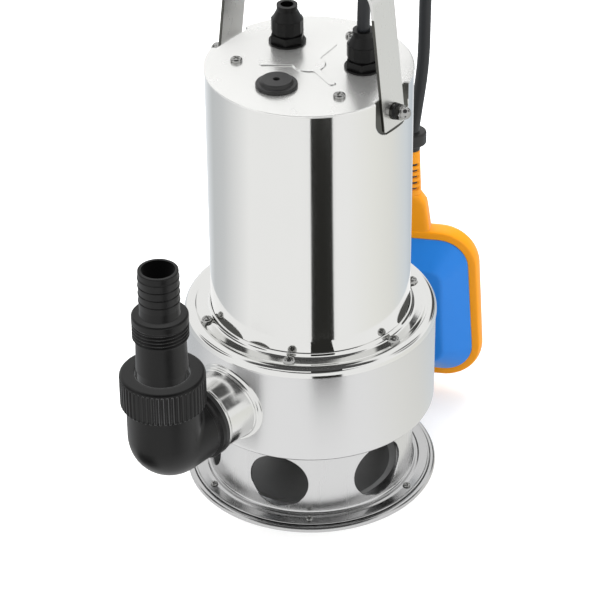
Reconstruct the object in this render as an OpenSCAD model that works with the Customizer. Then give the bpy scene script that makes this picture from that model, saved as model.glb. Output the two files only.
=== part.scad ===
// Submersible sump pump with float switch, in millimetres, +Z up.
// The origin is the middle of the underside, on the floor, and the outlet points to -Y.
// An azimuth is measured from -Y towards +X.

/* [Base and strainer] */
// Outer diameter of the base plate
base_d = 157.2; // [152:0.2:180]
// Height of the rolled rim of the base plate
rim_h = 3.2; // [2.8:0.1:4]
// How far the outer ring of the base plate stands off the floor
base_lift = 1.4; // [1:0.1:1.8]
// Thickness of the sheet metal of base, strainer, drum and cover ring
sheet = 1.2; // [1:0.1:1.6]
// Outer diameter of the strainer wall
strainer_d = 128; // [122:1:132]
// Height of the strainer from its foot flange to the drum
strainer_h = 50; // [46:1:60]
// Radius between the strainer's wall and its foot flange
strainer_fillet = 3; // [2:0.5:7]
// Number of suction holes
inlet_count = 6; // [4:1:7]
// Diameter of a suction hole
inlet_d = 38; // [24:1:40]
// Height of the suction holes' centres above the foot flange
inlet_rise = 23.4; // [22:0.2:26]
// Azimuth of the first suction hole
inlet_turn = 22.5; // [0:0.5:60]
// Azimuth of the first screw of the base plate
base_screw_turn = -20; // [-30:1:30]

/* [Drum] */
// Outer diameter of the volute drum
drum_d = 153.6; // [150:0.2:158]
// Height of the volute drum
drum_h = 62.9; // [60:0.5:75]
// Radius of the drum's lower edge
drum_corner = 3; // [2:0.5:5]
// Diameter of the suction eye in the drum's floor
eye_d = 40; // [30:1:60]
// Radius of the rounded bead round the cover ring
bead_r = 5; // [4.8:0.1:6]
// Distance of the cover screws from the motor casing
cover_screw_step = 5.3; // [5.2:0.05:6]
// Number of cover screws
cover_screw_count = 6; // [4:1:8]

/* [Outlet] */
// Height of the outlet's axis above the drum's floor
outlet_rise = 31.4; // [29:0.2:34]
// Outer diameter of the outlet stub
stub_d = 45.5; // [44:0.5:46]
// Length of the outlet stub beyond the drum
stub_l = 22.6; // [15:0.2:40]
// Thickness of the rubber ring between stub and elbow
gasket_t = 2.5; // [1.5:0.1:4]
// Outer diameter of the elbow
elbow_d = 44; // [40:0.5:46]
// Wall thickness of the elbow
elbow_wall = 4.5; // [3:0.1:6]
// Radius of the elbow's bend at its centre line
elbow_bend = 7; // [4:0.5:14]
// Distance from the elbow's collar to the axis of its upright leg
elbow_reach = 28.6; // [28:0.2:40]
// Height of the elbow's upright leg above the outlet's axis
elbow_rise = 42; // [38:0.5:60]
// Wall of the union nut over its thread
nut_wall = 3.55; // [3:0.05:5]
// Height of the union nut
nut_h = 21.3; // [19:0.1:26]
// Number of ribs round the union nut
nut_ribs = 54; // [24:1:60]

/* [Hose nozzle] */
// Bore of the hose nozzle
nozzle_bore = 18.6; // [14:0.1:20]
// Outer diameter of the small hose barbs
small_barb_d = 24.4; // [23:0.1:26]
// Outer diameter of the pipe thread
thread_d = 33.25; // [32:0.05:34]
// Outer diameter of the large hose barb
large_barb_d = 30.7; // [29:0.1:31.5]
// Length of the large hose barb
large_barb_l = 25.2; // [20:0.1:40]
// Length of the pipe thread
thread_l = 11; // [8:0.1:16]
// Length of the collar above the thread
collar_l = 4.5; // [3:0.1:8]
// Length of the small hose barbs
small_barb_l = 29.5; // [24:0.1:50]

/* [Motor unit] */
// Outer diameter of the motor casing
casing_d = 122; // [119:0.5:124]
// Wall of the motor casing
casing_wall = 1; // [0.8:0.1:1.2]
// Height of the motor casing above the seal plate
casing_h = 169.4; // [165:0.2:200]
// Turn of the motor unit against the outlet
motor_turn = 5; // [-10:1:10]
// Width of the pressed pocket that takes a handle foot
pocket_w = 32; // [26:1:34]
// Thickness of the top cover
lid_t = 1.2; // [1:0.1:2]
// How far the top cover stands out over the casing
lid_overhang = 0.4; // [0.2:0.1:1]
// Diameter of the raised disc in the middle of the top cover
star_d = 25; // [20:0.5:30]
// Width of the three raised arms
star_arm_w = 4.2; // [3:0.1:6]
// Reach of the raised arms from the middle
star_arm_r = 28; // [24:0.5:32]
// Distance of the cover's three screws from the middle
lid_screw_r = 42.5; // [41:0.5:46]
// Distance of the cover's cable holes from the middle
cable_hole_r = 31.5; // [29:0.5:33]

/* [Handle] */
// Width of the handle's strap
strap_w = 21; // [14:1:24]
// Thickness of the handle's strap
strap_t = 2; // [1.5:0.1:2.5]
// Lean of the handle's arms
strap_lean = 6.75; // [3:0.25:8]
// Height of the handle above the top cover
handle_rise = 67.4; // [55:0.2:90]
// Inner radius of the handle's bends
strap_bend = 12; // [6:1:20]
// Depth of the handle's bolts below the top of the casing
bolt_drop = 9.9; // [9:0.1:14]
// Length of strap below its bolt
strap_end = 10; // [8:0.5:14]
// Diameter of the handle's bolts
bolt_d = 5; // [4:0.5:6]

/* [Float] */
// Width of the float at its foot
float_w_low = 95.8; // [80:0.2:104]
// Width of the float at its shoulders
float_w_high = 82.4; // [70:0.2:90]
// Height of the float's body
float_h = 110.7; // [106:0.1:125]
// Clearance of the hanging float above the floor
float_z = 11.8; // [1:0.2:16]
// Thickness of the float over its shells
float_t = 40; // [36:1:42]
// Depth of the float's band
band_t = 12.5; // [8:0.5:14]
// Width of the float's band, seen from the front
band_w = 6.5; // [5:0.5:8]
// Wall of the float's shells
shell_wall = 2; // [1.4:0.1:2.6]
// Distance of the neck from the middle of the float
neck_shift = 2.1; // [0:0.1:4]
// Width of the flat panel on each shell
panel_w = 39; // [30:1:44]
// Azimuth that the float's front faces
float_face = 31; // [21:1:41]
// Diameter of the steel ball in the float
float_ball_d = 12; // [8:0.5:14]
// Travel of the steel ball
ball_travel = 22; // [14:1:26]
// Diameter of the float cable
cable_d = 7.6; // [5:0.1:8]

/* [Motor and impeller] */
// Number of impeller vanes
vane_count = 6; // [4:1:8]
// Diameter of the impeller
impeller_d = 88; // [70:1:96]
// Height of the impeller's vanes
vane_h = 17; // [12:0.5:22]
// Thickness of an impeller vane
vane_t = 3; // [2:0.1:4]
// Sweep of a vane from hub to rim
vane_sweep = 62; // [20:1:80]
// Number of stator slots
slot_count = 24; // [12:1:28]
// Inner diameter of the stator
stator_bore = 68; // [60:1:72]
// Height of the stator core
core_h = 60; // [50:1:70]
// Running gap between rotor and stator
air_gap = 0.6; // [0.4:0.1:1]
// Diameter of the shaft in the lower bearing
shaft_d = 15; // [14:0.5:16]
// Diameter of the capacitor
capacitor_d = 34; // [26:1:34]
// Length of the capacitor
capacitor_l = 56; // [40:1:58]

/* [Hidden] */
$fn = 72;

// Clearances
fit = 0.02;    // a press or bonded fit
slide = 0.1;   // sheet over sheet
free = 0.3;    // beside a moving or soft piece

// Heights of the stack
flange_z = base_lift + sheet;
flange_top = flange_z + sheet;
drum_z = flange_z + strainer_h;
drum_top = drum_z + drum_h;
rim_top = drum_top + 2;
plate_t = 4;
plate_top = rim_top - 5.5;
plate_z = plate_top - plate_t;
cover_top = rim_top + sheet;
casing_top = plate_top + casing_h;
lid_top = casing_top + lid_t;
bracket_h = 24;
core_z = plate_top + bracket_h;
core_top = core_z + core_h;
deck_h = 20;
deck_t = 4;
deck_top = core_top + deck_h;
outlet_z = drum_z + outlet_rise;

// Radii of the stack
base_r = base_d / 2;
rim_w = 3.2;
flange_r = base_r - rim_w - 0.4;
strainer_r = strainer_d / 2;
base_screw_r = (strainer_r + strainer_fillet + flange_r) / 2 - 1.5;
drum_r = drum_d / 2;
casing_r = casing_d / 2;
casing_in = casing_r - casing_wall;
cover_r = drum_r + slide + sheet;
cover_screw_r = casing_r + cover_screw_step;
plate_r = drum_r - sheet - 0.2;

// Screws
screw_r = 1.5;
m4_r = 2;
m4_head_r = 3.3;
m4_head_h = 2.6;

// Outlet
stub_r = stub_d / 2;
stub_in = stub_r - 1.25;
stub_end = drum_r + stub_l;
elbow_r = elbow_d / 2;
elbow_in = elbow_r - elbow_wall;
leg_r = elbow_r - 0.5;
collar_y = stub_end + gasket_t;
leg_y = collar_y + elbow_reach;
leg_top = outlet_z + elbow_rise;
nozzle_gasket_t = 1.8;
nozzle_z = leg_top + nozzle_gasket_t;
nozzle_flange_t = 2.7;
nut_in = leg_r + free;
nut_r = nut_in + nut_wall;
nut_lip_t = 4;
nut_top = nozzle_z + nozzle_flange_t + free + nut_lip_t;
nut_z = nut_top - nut_h;

// Shaft and bearings
impeller_z = plate_z - 26;
hub_top = impeller_z + 19;
shaft_r = shaft_d / 2;
seal_shaft_r = shaft_r - 1.5;
hub_bore_r = shaft_r - 2.5;
top_shaft_r = shaft_r - 1.5;
low_bearing_z = plate_top + 10;
low_bearing_w = 11;
low_race_r = shaft_r + 10;
low_pitch_r = (shaft_r + low_race_r) / 2;
low_ball_r = 3;
top_bearing_z = deck_top - 8;
top_bearing_w = 10;
top_race_r = top_shaft_r + 10;
top_pitch_r = (top_shaft_r + top_race_r) / 2;
top_ball_r = 2.64;
ball_count = 8;
stator_r = casing_in - 0.2;
stator_in = stator_bore / 2;
rotor_r = stator_in - air_gap;
winding_h = 14;

// Float
float_dist = drum_r + 28.7;
float_az = 182.29;
float_x = float_dist * sin(float_az);
float_y = -float_dist * cos(float_az);
float_top = float_z + float_h;
relief_z = float_top + 24.5;
relief_top = relief_z + 31;
float_collar_z = relief_top + 5;
float_collar_h = 8.5;
capsule_z = float_z + 27;
capsule_r = float_ball_d / 2 + 3;
ball_rest_z = capsule_z + 2 + float_ball_d / 2 + free;

// Points of the float cable, from its gland over to the float's collar
cable_route = [[25.8, 18.1, 298], [25.8, 18.1, 307], [25.8, 18.2, 317], [25.4, 19.4, 329],
               [23.9, 24, 342], [21, 33, 353], [17, 46, 361], [12.2, 61, 364.5], [7.3, 77, 362],
               [2.6, 91.5, 354], [-0.8, 102.5, 342], [-2.7, 108.8, 328], [-3.2, 110.9, 314],
               [-3.1, 111, 300], [-3, 110.8, 286], [-3, 110.6, 274], [-2.9, 110.3, 262],
               [-2.8, 110, 250], [-2.9, 109.4, 238], [-3.4, 108.4, 226], [-4.2, 107.1, 214],
               [-5.1, 105.8, 202], [-5.8, 104.8, 192], [-6, 104.4, 184]];
bend_first = 14;
bend_last = 18;

// A direction at right angles to the cable's run, for the rings of its tube
cable_side = [0.954, 0.3, 0];

// ---------------------------------------------------------------- functions

// Points on an arc round c
function arc(c, r, a0, a1, n = 6) = [for (i = [0 : n])
    let (a = a0 + (a1 - a0) * i / n)
    c + r * [cos(a), sin(a)]];

function unit(v) = v / norm(v);

// The turn from one angle to another, the short way round
function short_turn(a, b) = let (d = b - a) d > 180 ? d - 360 : d < -180 ? d + 360 : d;

// Points that round the corner b of the outline a, b, c
function corner(a, b, c, r, n) = r <= 0 ? [b] :
    let (u = unit(a - b),
         v = unit(c - b),
         half = acos(u * v) / 2,
         m = b + unit(u + v) * r / sin(half),
         s = b + u * r / tan(half) - m,
         e = b + v * r / tan(half) - m,
         a0 = atan2(s.y, s.x))
    arc(m, r, a0, a0 + short_turn(a0, atan2(e.y, e.x)), n);

// An outline with each corner rounded to its own radius
function rounded(pts, radii, n = 6) = let (k = len(pts))
    [for (i = [0 : k - 1]) each corner(pts[(i + k - 1) % k], pts[i], pts[(i + 1) % k], radii[i], n)];

// An outline lifted to a plane of constant y
function at_y(pts, y) = [for (p = pts) [p.x, y, p.y]];

// The float's outline, drawn in by d
function float_outline(d) = let (low = float_w_low / 2 - d, high = float_w_high / 2 - d)
    rounded([[-low, float_z + d], [low, float_z + d], [high, float_top - d], [-high, float_top - d]],
            [25 - d, 25 - d, 26 - d, 26 - d]);

// The outline of the flat panel on a float shell, grown by d
function panel_outline(d) = let (w = panel_w / 2 + d)
    rounded([[-w, float_z + 22 - d], [w, float_z + 22 - d], [w, float_top - 25 + d],
             [-w, float_top - 25 + d]], [7 + d, 7 + d, 7 + d, 7 + d]);

// A ring of points round the cable's route at point i
function cable_tangent(i) = unit(cable_route[min(i + 1, len(cable_route) - 1)] - cable_route[max(i - 1, 0)]);
function cable_ring(i, sides = 10) =
    let (t = cable_tangent(i),
         u = unit(cable_side - (cable_side * t) * t),
         v = cross(t, u))
    [for (k = [0 : sides - 1])
        let (a = 360 * k / sides)
        cable_route[i] + cable_d / 2 * (u * cos(a) + v * sin(a))];

// ---------------------------------------------------------------- shapes

// Puts children on a radius: their +Z points outwards at azimuth az, their +Y points up
module radial(az, z) {
    rotate([0, 0, az]) translate([0, 0, z]) rotate([90, 0, 0]) children();
}

// Copies children round the axis at radius r
module around(count, r, turn = 0) {
    for (i = [0 : count - 1])
        rotate([0, 0, turn + 360 * i / count]) translate([0, -r, 0]) children();
}

// Turns children with the motor unit
module motor() {
    rotate([0, 0, motor_turn]) children();
}

module tube(r_out, r_in, z, h) {
    translate([0, 0, z]) rotate_extrude() translate([r_in, 0]) square([r_out - r_in, h]);
}

module torus(ring_r, section_r, z) {
    translate([0, 0, z]) rotate_extrude() translate([ring_r, 0]) circle(r = section_r, $fn = 24);
}

// A skin over rings of equal point count, closed at both ends
module loft(rings) {
    n = len(rings[0]);
    last = len(rings) - 1;
    sides = [for (i = [0 : last - 1], j = [0 : n - 1], half = [0, 1])
        let (a = i * n + j, b = i * n + (j + 1) % n, c = b + n, d = a + n)
        half == 0 ? [a, b, c] : [a, c, d]];
    low = [for (j = [1 : n - 2]) [0, j + 1, j]];
    high = [for (j = [1 : n - 2]) [last * n, last * n + j, last * n + j + 1]];
    polyhedron(points = [for (ring = rings) each ring], faces = [for (f = concat(sides, low, high))
        [f[0], f[2], f[1]]]);
}

// A pan-head screw that stands on z = 0, with a cross recess
module pan_screw(head_r, head_h, shank_r, length) {
    difference() {
        rotate_extrude() polygon([[0, -length], [shank_r, -length], [shank_r, 0], [head_r, 0],
            [head_r, head_h * 0.4], [head_r * 0.86, head_h * 0.78], [head_r * 0.55, head_h], [0, head_h]]);
        for (turn = [0, 90])
            rotate([0, 0, turn]) translate([-head_r * 0.6, -head_r * 0.12, head_h * 0.45])
                cube([head_r * 1.2, head_r * 0.24, head_h]);
    }
}

// Rings and balls of a deep-groove bearing, on z = 0
module race_inner(bore_r, pitch_r, ball_r, width) {
    rotate_extrude() difference() {
        translate([bore_r, 0]) square([pitch_r - ball_r / 2 - bore_r, width]);
        translate([pitch_r, width / 2]) circle(r = ball_r + slide / 2, $fn = 32);
    }
}

module race_outer(rim_r, pitch_r, ball_r, width) {
    rotate_extrude() difference() {
        translate([pitch_r + ball_r / 2, 0]) square([rim_r - pitch_r - ball_r / 2, width]);
        translate([pitch_r, width / 2]) circle(r = ball_r + slide / 2, $fn = 32);
    }
}

module ball_set(pitch_r, ball_r, width) {
    around(ball_count, pitch_r) translate([0, 0, width / 2]) sphere(r = ball_r, $fn = 24);
}

// ---------------------------------------------------------------- base and strainer

module base_plate() {
    pad_r = strainer_r - 14;
    color("silver") difference() {
        rotate_extrude() polygon([[0, 0], [pad_r, 0], [pad_r + 4, base_lift],
            [base_r - rim_w - 0.4, base_lift], [base_r - rim_w, 0], [base_r - 0.6, 0], [base_r, 0.6],
            [base_r, rim_h - 1], [base_r - 1, rim_h], [base_r - rim_w + 0.6, rim_h],
            [base_r - rim_w, rim_h - 0.6], [base_r - rim_w, flange_z], [pad_r + 3.5, flange_z],
            [pad_r - 0.5, sheet], [0, sheet]]);
        around(6, base_screw_r, base_screw_turn) translate([0, 0, -1]) cylinder(r = screw_r + slide, h = 9);
    }
}

module base_screws() {
    color("gainsboro") around(6, base_screw_r, base_screw_turn) translate([0, 0, flange_top])
        pan_screw(2.35, 1.5, screw_r, 2 * sheet + 0.6);
}

module strainer_profile() {
    top_r = 3;
    foot = [strainer_r + strainer_fillet, flange_top + strainer_fillet];
    head = [strainer_r - top_r, drum_z - top_r];
    polygon(concat(
        [[flange_r, flange_z], [flange_r, flange_top]],
        arc(foot, strainer_fillet, 270, 180),
        arc(head, top_r, 0, 90),
        [[strainer_r - 12, drum_z], [strainer_r - 12, drum_z - sheet]],
        arc(head, top_r - sheet, 90, 0),
        arc(foot, strainer_fillet + sheet, 180, 270)));
}

module strainer_cup() {
    color("silver") difference() {
        rotate_extrude() strainer_profile();
        for (i = [0 : inlet_count - 1])
            radial(inlet_turn + 360 * i / inlet_count, flange_z + inlet_rise)
                translate([0, 0, strainer_r - 16]) cylinder(d = inlet_d, h = 22);
        around(6, base_screw_r, base_screw_turn) translate([0, 0, flange_z - 1])
            cylinder(r = screw_r + slide, h = 4);
        around(4, strainer_r - 7.5, 45) translate([0, 0, drum_z - 4]) cylinder(r = screw_r + slide, h = 6);
    }
}

module strainer_screws() {
    color("gainsboro") around(4, strainer_r - 7.5, 45) translate([0, 0, drum_z - sheet])
        mirror([0, 0, 1]) pan_screw(2.9, 1.8, screw_r, 2 * sheet + 1);
}

// ---------------------------------------------------------------- drum

module volute_drum() {
    floor_c = [drum_r - drum_corner, drum_z + drum_corner];
    color("lightgray") difference() {
        rotate_extrude() polygon(concat(
            [[eye_d / 2, drum_z]],
            arc(floor_c, drum_corner, 270, 360),
            [[drum_r, drum_top], [drum_r - sheet, drum_top]],
            arc(floor_c, drum_corner - sheet, 360, 270),
            [[eye_d / 2 + 3, drum_z + sheet], [eye_d / 2 + sheet, drum_z + 4], [eye_d / 2, drum_z + 4]]));
        radial(0, outlet_z) cylinder(r = stub_r + slide, h = drum_r + 8);
        around(4, strainer_r - 7.5, 45) translate([0, 0, drum_z - 1]) cylinder(r = screw_r + slide, h = 4);
    }
}

module outlet_stub() {
    weld_r = stub_r + 2.6;
    color("lightgray") difference() {
        union() {
            radial(0, outlet_z) translate([0, 0, drum_r - 12]) cylinder(r = stub_r, h = stub_l + 12);
            difference() {
                radial(0, outlet_z) union() {
                    translate([0, 0, drum_r - 12]) cylinder(r = weld_r, h = 13);
                    translate([0, 0, drum_r + 1]) cylinder(r1 = weld_r, r2 = stub_r, h = 2);
                }
                translate([0, 0, drum_z]) cylinder(r = drum_r + slide / 2, h = drum_h);
            }
        }
        radial(0, outlet_z) cylinder(r = stub_in, h = stub_end + 5);
        translate([0, 0, drum_z]) cylinder(r = drum_r - sheet - 0.5, h = drum_h);
    }
}

module seal_plate() {
    groove_z = plate_top + 1;
    color("darkgray") difference() {
        rotate_extrude() polygon([[13, plate_z], [plate_r, plate_z], [plate_r, groove_z],
            [plate_r - 2.4, groove_z], [plate_r - 2.4, groove_z + 3], [plate_r, groove_z + 3],
            [plate_r, rim_top], [casing_r + free, rim_top], [casing_r + free, plate_top],
            [13, plate_top]]);
        around(cover_screw_count, cover_screw_r, 30) translate([0, 0, plate_z + 1])
            cylinder(r = m4_r + fit, h = 12);
        around(3, casing_in - 10, 20) translate([0, 0, plate_z - 1]) cylinder(r = m4_r + slide, h = 8);
    }
}

module drum_oring() {
    section = 1.28;
    color("black") torus(plate_r - 2.4 + section + fit, section, plate_top + 2.5);
}

module bracket_screws() {
    color("gainsboro") around(3, casing_in - 10, 20) translate([0, 0, plate_z]) mirror([0, 0, 1])
        pan_screw(m4_head_r, m4_head_h, m4_r, plate_t + 4);
}

module cover_ring() {
    bead = [cover_r - bead_r, drum_top - 0.6];
    in_r = bead_r - sheet;
    rise_out = asin((cover_top - bead.y) / bead_r);
    rise_in = asin((rim_top - bead.y) / in_r);
    lip_r = casing_r + slide;
    color("whitesmoke") difference() {
        rotate_extrude() polygon(concat(
            [[lip_r, rim_top], [lip_r, cover_top + 3.3], [lip_r + sheet - 0.4, cover_top + 3.3],
             [lip_r + sheet, cover_top + 2.9]],
            arc([lip_r + sheet + 0.9, cover_top + 0.9], 0.9, 180, 270, 4),
            arc(bead, bead_r, 180 - rise_out, 0, 12),
            [[cover_r, bead.y - 0.9], [cover_r - sheet, bead.y - 0.9]],
            arc(bead, in_r, 0, 180 - rise_in, 10)));
        around(cover_screw_count, cover_screw_r, 30) translate([0, 0, rim_top - 1])
            cylinder(r = m4_r + slide, h = 4);
    }
}

module cover_ring_screws() {
    color("gainsboro") around(cover_screw_count, cover_screw_r, 30) translate([0, 0, cover_top])
        pan_screw(m4_head_r, m4_head_h, m4_r, 9);
}

// ---------------------------------------------------------------- outlet

// The inside or outside of the elbow: two legs and a quarter turn of radius elbow_bend
module elbow_form(r, from_y, to_z) {
    bend_y = leg_y - elbow_bend;
    bend_z = outlet_z + elbow_bend;
    radial(0, outlet_z) translate([0, 0, from_y]) cylinder(r = r, h = bend_y - from_y);
    translate([0, -leg_y, bend_z]) cylinder(r = r, h = to_z - bend_z);
    translate([0, -bend_y, bend_z]) rotate([0, 90, 0]) rotate([0, 0, -90]) rotate_extrude(angle = 90)
        intersection() {
            translate([elbow_bend, 0]) circle(r = r);
            translate([0, -r - 1]) square([r + elbow_bend + 1, 2 * r + 2]);
        }
}

module elbow() {
    collar_r = stub_r + 0.75;
    color([0.14, 0.14, 0.15]) difference() {
        union() {
            elbow_form(elbow_r, collar_y + 5.5, nut_z - 0.6);
            translate([0, -leg_y, outlet_z + elbow_bend]) cylinder(r = leg_r, h = elbow_rise - elbow_bend);
            radial(0, outlet_z) translate([0, 0, collar_y]) cylinder(r = collar_r, h = 3.1);
            radial(0, outlet_z) translate([0, 0, collar_y + 3]) cylinder(r = elbow_r - 1, h = 3);
            radial(0, outlet_z) translate([0, 0, stub_end - 14]) cylinder(r = stub_in - fit, h = 18);
        }
        elbow_form(elbow_in, stub_end - 15, leg_top + 1);
    }
}

module outlet_gasket() {
    color([0.07, 0.07, 0.07]) radial(0, outlet_z) translate([0, 0, stub_end])
        tube(stub_r + 0.75, stub_in + fit, 0, gasket_t);
}

module nozzle_gasket() {
    color([0.07, 0.07, 0.07]) translate([0, -leg_y, 0]) tube(leg_r - 0.3, elbow_in, leg_top, nozzle_gasket_t);
}

module union_nut() {
    pitch = 360 / nut_ribs;
    root_r = nut_r - 0.6;
    chamfer = 1.2;
    color([0.16, 0.16, 0.17]) translate([0, -leg_y, 0]) difference() {
        union() {
            translate([0, 0, nut_z + chamfer]) linear_extrude(nut_h - 2 * chamfer)
                polygon([for (i = [0 : nut_ribs - 1], k = [0 : 3])
                    let (a = pitch * (i + [0, 0.14, 0.36, 0.5][k]), r = k == 1 || k == 2 ? nut_r : root_r)
                    r * [cos(a), sin(a)]]);
            tube(root_r, nut_in - 1, nut_z, nut_h);
        }
        translate([0, 0, nut_z - 1]) cylinder(r = nut_in, h = nut_h - nut_lip_t + 1);
        translate([0, 0, nut_z - 1]) cylinder(r = large_barb_d / 2 + 0.8, h = nut_h + 2);
    }
}

module hose_nozzle() {
    thread_r = thread_d / 2;
    thread_pitch = 2.309;
    thread_depth = 1.1;
    large_r = large_barb_d / 2;
    small_r = small_barb_d / 2;
    flange_end = nozzle_z + nozzle_flange_t;
    barb_z = flange_end + 7.5;
    thread_z = flange_end + large_barb_l + 4.3;
    turns = floor(thread_l / thread_pitch);
    collar_z = thread_z + thread_l;
    small_z = collar_z + collar_l;
    barb_step = (small_barb_l - 9) / 4;
    color([0.2, 0.2, 0.21]) translate([0, -leg_y, 0]) rotate_extrude() polygon(concat(
        [[nozzle_bore / 2, nozzle_z], [leg_r - 0.3, nozzle_z], [leg_r - 0.3, flange_end],
         [large_r - 0.9, flange_end], [large_r - 0.9, barb_z], [large_r, barb_z + 0.2],
         [large_r - 0.55, thread_z]],
        [for (i = [0 : turns - 1]) each [
            [thread_r - thread_depth, thread_z + i * thread_pitch],
            [thread_r, thread_z + (i + 0.35) * thread_pitch],
            [thread_r, thread_z + (i + 0.65) * thread_pitch]]],
        [[thread_r - thread_depth, thread_z + turns * thread_pitch], [thread_r - 0.4, collar_z],
         [thread_r - 0.4, small_z - 0.6], [thread_r - 1, small_z], [small_r - 0.3, small_z]],
        [for (i = [0 : 3]) each [
            [small_r - 0.9, small_z + 3 + i * barb_step],
            [small_r, small_z + 3 + (i + 0.12) * barb_step],
            [small_r - 0.05, small_z + 3 + (i + 0.3) * barb_step]]],
        [[small_r - 0.9, small_z + small_barb_l - 5], [small_r - 0.75, small_z + small_barb_l - 0.6],
         [small_r - 1.3, small_z + small_barb_l], [nozzle_bore / 2 + 0.5, small_z + small_barb_l],
         [nozzle_bore / 2, small_z + small_barb_l - 0.5]]));
}

// ---------------------------------------------------------------- shaft and impeller

module vane(z, h, r0, r1, sweep) {
    steps = 10;
    line = [for (i = [0 : steps])
        let (f = i / steps)
        [r0 + (r1 - r0) * f, sweep * pow(f, 1.15)]];
    function edge(p, side) = let (a = p[1] + side * vane_t / 2 / p[0] * 180 / PI) p[0] * [cos(a), sin(a)];
    translate([0, 0, z]) linear_extrude(h)
        polygon(concat([for (p = line) edge(p, -1)], [for (i = [steps : -1 : 0]) edge(line[i], 1)]));
}

module impeller() {
    hub_r = hub_bore_r + 6;
    shroud_z = impeller_z + vane_h;
    color("dimgray") difference() {
        union() {
            rotate_extrude() polygon([[0, impeller_z], [hub_r, impeller_z], [hub_r + 3, shroud_z],
                [impeller_d / 2, shroud_z], [impeller_d / 2, shroud_z + 3], [hub_r, shroud_z + 3],
                [hub_r - 1, hub_top], [0, hub_top]]);
            for (i = [0 : vane_count - 1])
                rotate([0, 0, 360 * i / vane_count])
                    vane(impeller_z, vane_h + 1, hub_r - 1, impeller_d / 2 - 0.5, vane_sweep);
            around(4, impeller_d / 4 + 8) translate([-1.2, -impeller_d / 4 + 10, shroud_z + 2.5])
                cube([2.4, impeller_d / 2 - 20, 2.5]);
        }
        translate([0, 0, impeller_z - 1]) cylinder(r = hub_bore_r + fit, h = hub_top - impeller_z + 2);
    }
}

module impeller_nut() {
    color("goldenrod") difference() {
        union() {
            translate([0, 0, impeller_z - 5.1]) cylinder(r = 7.5, h = 5, $fn = 6);
            translate([0, 0, impeller_z - 9]) cylinder(r1 = 3.6, r2 = 6, h = 4);
        }
        translate([0, 0, impeller_z - 7.5]) cylinder(r = hub_bore_r - 1 + fit, h = 9);
    }
}

module shaft() {
    steps = [[hub_bore_r - 1, impeller_z - 7], [hub_bore_r, impeller_z], [seal_shaft_r, hub_top],
             [shaft_r, plate_top], [shaft_r + 1.5, low_bearing_z + low_bearing_w],
             [shaft_r + 2.5, core_z + 2], [shaft_r + 0.5, core_top - 2], [top_shaft_r, top_bearing_z],
             [0, top_bearing_z + top_bearing_w - 0.5]];
    color("lightsteelblue") rotate_extrude() polygon(concat([[0, steps[0][1]]],
        [for (i = [0 : len(steps) - 2]) each [steps[i], [steps[i][0], steps[i + 1][1]]]],
        [[0, steps[len(steps) - 1][1]]]));
}

module seal_head() {
    color([0.15, 0.15, 0.16]) rotate_extrude() polygon([[seal_shaft_r + fit, hub_top + slide],
        [seal_shaft_r + 4, hub_top + slide], [seal_shaft_r + 4, hub_top + 2],
        [seal_shaft_r + 3, hub_top + 3], [seal_shaft_r + 4.5, hub_top + 4],
        [seal_shaft_r + 4.5, plate_z - 1], [seal_shaft_r + 3, plate_z - slide],
        [seal_shaft_r + fit, plate_z - slide]]);
}

module seal_seat() {
    color("tan") tube(13 - fit, seal_shaft_r + 0.4, plate_z, plate_t);
}

module lip_seal() {
    color([0.1, 0.1, 0.1]) rotate_extrude() polygon([[shaft_r + 0.05, plate_top + 4],
        [14 - fit, plate_top + 2], [14 - fit, plate_top + 9 - fit], [shaft_r + 2.5, plate_top + 9 - fit],
        [shaft_r + 2.5, plate_top + 6], [shaft_r + 0.05, plate_top + 5]]);
}

module lower_bearing_inner() {
    color("silver") translate([0, 0, low_bearing_z])
        race_inner(shaft_r + fit, low_pitch_r, low_ball_r, low_bearing_w);
}

module lower_bearing_outer() {
    color("silver") translate([0, 0, low_bearing_z])
        race_outer(low_race_r, low_pitch_r, low_ball_r, low_bearing_w);
}

module lower_bearing_balls() {
    color("gainsboro") translate([0, 0, low_bearing_z]) ball_set(low_pitch_r, low_ball_r, low_bearing_w);
}

module upper_bearing_inner() {
    color("silver") translate([0, 0, top_bearing_z])
        race_inner(top_shaft_r + fit, top_pitch_r, top_ball_r, top_bearing_w);
}

module upper_bearing_outer() {
    color("silver") translate([0, 0, top_bearing_z])
        race_outer(top_race_r, top_pitch_r, top_ball_r, top_bearing_w);
}

module upper_bearing_balls() {
    color("gainsboro") translate([0, 0, top_bearing_z]) ball_set(top_pitch_r, top_ball_r, top_bearing_w);
}

module rotor_core() {
    color("slategray") tube(rotor_r, shaft_r + 2.5 + fit, core_z + 2, core_h - 4);
}

module rotor_cage() {
    ring_in = low_race_r + 4.5;
    color("lightgray") for (end = [core_z - 2, core_top - 2]) {
        tube(rotor_r - 1.4, ring_in, end, 4);
        around(8, (rotor_r + ring_in) / 2) translate([-1, -3, end == core_z - 2 ? end - 3.5 : end + 3.5])
            cube([2, 6, 4]);
    }
}

module stator_slots(grow) {
    around(slot_count, stator_in) translate([0, -9]) {
        translate([-2.6 - grow, -6 - grow]) square([5.2 + 2 * grow, 13 + 2 * grow]);
        translate([-1 - grow, 0]) square([2 + 2 * grow, 12]);
    }
}

module stator_core() {
    color("dimgray") translate([0, 0, core_z]) linear_extrude(core_h) difference() {
        circle(r = stator_r);
        circle(r = stator_in);
        stator_slots(0);
    }
}

module stator_windings() {
    end_in = stator_in + 2.5;
    end_out = casing_in - 5.2;
    color("peru") {
        for (z = [core_z - winding_h, core_top])
            translate([0, 0, z]) rotate_extrude() polygon(rounded([[end_in, 0], [end_out, 0],
                [end_out, winding_h], [end_in, winding_h]], [4, 4, 4, 4], 4));
        translate([0, 0, core_z - 1]) linear_extrude(core_h + 2)
            around(slot_count, stator_in) translate([-2.3, -14.5]) square([4.6, 11]);
    }
}

// ---------------------------------------------------------------- brackets

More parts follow.
